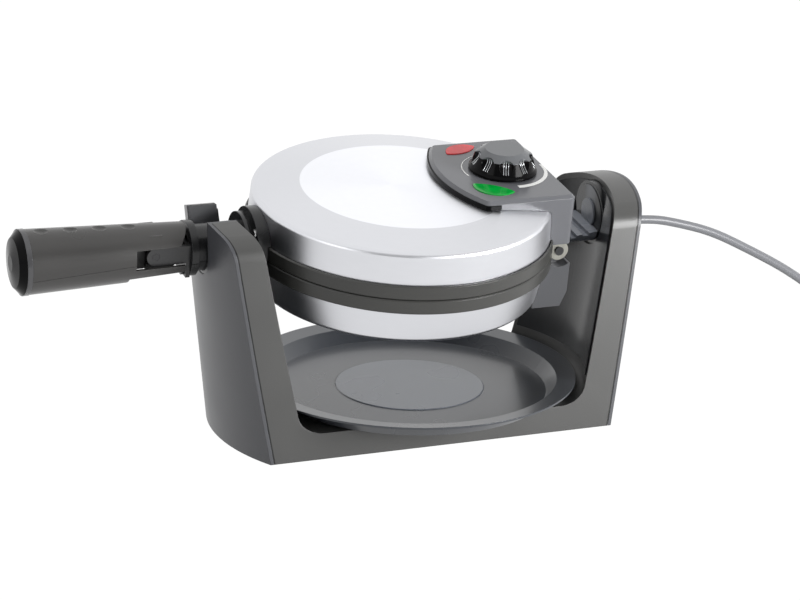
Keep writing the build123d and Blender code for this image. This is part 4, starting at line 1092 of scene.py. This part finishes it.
@dataclass
class ControlBox:
    """Control box with its knob, lamps and printed dial scale."""

    knob_x: float = 63.0
    top: float = 38.7
    hot_arc: Arc = Arc(30.4, (-92.0, 6.0), (4.0, 1.8))
    cold_arc: Arc = Arc(28.6, (112.0, 192.0), (0.5, 0.9))
    scale_lift: float = 0.12
    steps: int = 32
    knob_base: float = 39.3
    pocket_count: int = 9
    pocket_first: float = 12.0
    pocket_radius: float = 5.75
    pocket_low: tuple[float, float] = (25.0, 8.8)
    pocket_high: tuple[float, float] = (22.6, 11.4)
    low_swings: tuple[float, ...] = (-14.0, 0.0)
    high_swings: tuple[float, ...] = (0.0, 18.0, 36.0, 50.0)
    rib_turns: tuple[float, ...] = (-17.0, 0.0, 17.0)
    rib_radius: float = 0.42
    rib_roundness: int = 2
    rib_steps: int = 3
    box: MouldedPlastic = MouldedPlastic(
        "box_plastic", srgb(98, 99, 103), roughness=0.26, spread=0.03, depth=0.00002,
        coat=0.1, edge=0.0006, shine=0.4,
    )
    black: MouldedPlastic = MouldedPlastic(
        "black_gloss", srgb(10, 10, 11), roughness=0.14, spread=0.03, scale=700.0,
        depth=0.00001, edge=0.0005, shine=0.07,
    )
    cap: MouldedPlastic = MouldedPlastic(
        "knob_grey", srgb(94, 96, 99), roughness=0.25, edge=0.0004
    )
    red: ClearLens = ClearLens("red_lens", srgb(205, 30, 38))
    green: ClearLens = ClearLens("green_lens", srgb(0, 150, 52))
    # Bright metal of the knob's ribs: painted highlights on the ridges of the black knob.
    rib: LinedMetal = LinedMetal(
        "rib_painted_highlight", srgb(176, 178, 180), Direction.ALONG_Z, roughness=0.22
    )
    print_white: MouldedPlastic = MouldedPlastic(
        "print_white", srgb(228, 228, 226), roughness=0.45
    )

    def scale(self, workshop: Workshop) -> None:
        """Lays the printed scale, two arcs that change in width.

        Args:
            workshop: Shared node groups.
        """
        points, faces = [], []
        for arc in (self.hot_arc, self.cold_arc):
            for i in range(self.steps + 1):
                angle, *radii = arc.edges(i / self.steps)
                for radius in radii:
                    points.append(head_point(
                        self.knob_x + radius * math.cos(angle), radius * math.sin(angle),
                        self.top + self.scale_lift,
                    ))
                if i:
                    n = len(points) - 2
                    faces.append((n - 2, n - 1, n + 1, n))
        mesh = bpy.data.meshes.new("dial_scale")
        mesh.from_pydata(points, [], faces)
        mesh.materials.append(self.print_white.build(workshop))
        scale = new_object("dial_scale", mesh)
        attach(scale, "lid")

    def ribs(self, workshop: Workshop) -> None:
        """Lays grip ribs up the hollow of each finger pocket, in bright metal that paints
        highlights on their ridges.

        Args:
            workshop: Shared node groups.
        """
        curve = new_tube(
            "knob_ribs", self.rib_radius * MM, self.rib_roundness, self.rib_steps
        )
        low, high = Vector(self.pocket_low), Vector(self.pocket_high)
        along = (high - low).normalized()
        inward = Vector((-along.y, along.x))
        stations = [(low, math.radians(swing)) for swing in self.low_swings]
        stations += [(high, math.radians(swing)) for swing in self.high_swings]
        for i in range(self.pocket_count):
            angle = math.radians(self.pocket_first + 360.0 / self.pocket_count * i)
            for side in map(math.radians, self.rib_turns):
                reach = self.pocket_radius * math.cos(side)
                aside = self.pocket_radius * math.sin(side)
                points = []
                for centre, swing in stations:
                    spot = centre + reach * (inward * math.cos(swing) + along * math.sin(swing))
                    points.append(head_point(
                        self.knob_x + spot.x * math.cos(angle) - aside * math.sin(angle),
                        spot.x * math.sin(angle) + aside * math.cos(angle),
                        self.knob_base + spot.y,
                    ))
                add_spline(curve, points)
        curve.materials.append(self.rib.build(workshop))
        ribs = new_object("knob_ribs", curve)
        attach(ribs, "knob")

    def build(self, frame: dict, workshop: Workshop) -> None:
        """Gives the box its finishes and adds the scale and the knob's ribs.

        Args:
            frame: The loaded frame.
            workshop: Shared node groups.
        """
        dress(frame, self.box, workshop, ("control_box",))
        dress(frame, self.black, workshop, ("control_trim", "knob_body", "grip_end_cap"))
        dress(frame, self.cap, workshop, ("knob_cap",))
        dress(frame, self.red, workshop, ("power_lamp",))
        dress(frame, self.green, workshop, ("ready_lamp",))
        self.scale(workshop)
        self.ribs(workshop)


@dataclass
class Grip:
    """Folding grip with its end ring, and a near-black block beside its pivot that paints the
    shade seen inside the grip through the fork's notch.
    """

    # Boxes, in millimetres of the level head, of a near-black block that paints the shade
    # inside the grip.
    shade_block_boxes: tuple[tuple[tuple, tuple], ...] = (
        ((-210.8, -9.5, -8.5), (-197.7, 9.5, 15.0)),
        ((-198.7, -9.5, -9.5), (-177.0, 9.5, -3.6)),
    )
    shade_block_round: float = 1.2
    shade_block_segments: int = 3
    body: MouldedPlastic = MouldedPlastic(
        "grip_plastic", srgb(58, 57, 56), roughness=0.3, edge=0.0005
    )
    # Near-black finish of that block of painted shade.
    inside: MouldedPlastic = MouldedPlastic("grip_painted_shade", srgb(14, 14, 15), roughness=0.5)
    ring: MouldedPlastic = MouldedPlastic(
        "end_ring", srgb(74, 74, 76), roughness=0.18, edge=0.0006
    )

    def shade_block(self, workshop: Workshop) -> None:
        """Adds a near-black block inside the grip: painted shade that shows through the fork's
        notch.

        Args:
            workshop: Shared node groups.
        """
        shape = bmesh.new()
        for low, high in self.shade_block_boxes:
            for vertex in bmesh.ops.create_cube(shape, size=1.0)["verts"]:
                vertex.co = Vector(
                    start + (end - start) * (part + 0.5)
                    for start, end, part in zip(low, high, vertex.co)
                )
        bmesh.ops.bevel(
            shape, geom=shape.edges[:], offset=self.shade_block_round, segments=self.shade_block_segments,
            affect="EDGES",
        )
        for vertex in shape.verts:
            vertex.co = head_point(*vertex.co)
        mesh = bpy.data.meshes.new("grip_shade_block")
        shape.to_mesh(mesh)
        shape.free()
        mesh.materials.append(self.inside.build(workshop))
        shade_block = new_object("grip_shade_block", mesh)
        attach(shade_block, "grip")

    def build(self, frame: dict, workshop: Workshop) -> None:
        """Gives the grip its finishes and adds its block of painted shade.

        Args:
            frame: The loaded frame.
            workshop: Shared node groups.
        """
        dress(frame, self.body, workshop, ("grip_upper_shell", "grip_lower_shell"))
        dress(frame, self.ring, workshop, ("grip_end_ring",))
        self.shade_block(workshop)


def main() -> None:
    """Builds the scene in order and logs each part as it is done."""
    logging.basicConfig(level=logging.INFO, format="%(message)s")
    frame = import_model()
    workshop = Workshop()
    Studio().build()
    for part in (MainsCord(), Stand(), DripTray(), Head(), ControlBox(), Grip()):
        part.build(frame, workshop)
        LOG.info("%s done", type(part).__name__)


if __name__ == "__main__":
    main()
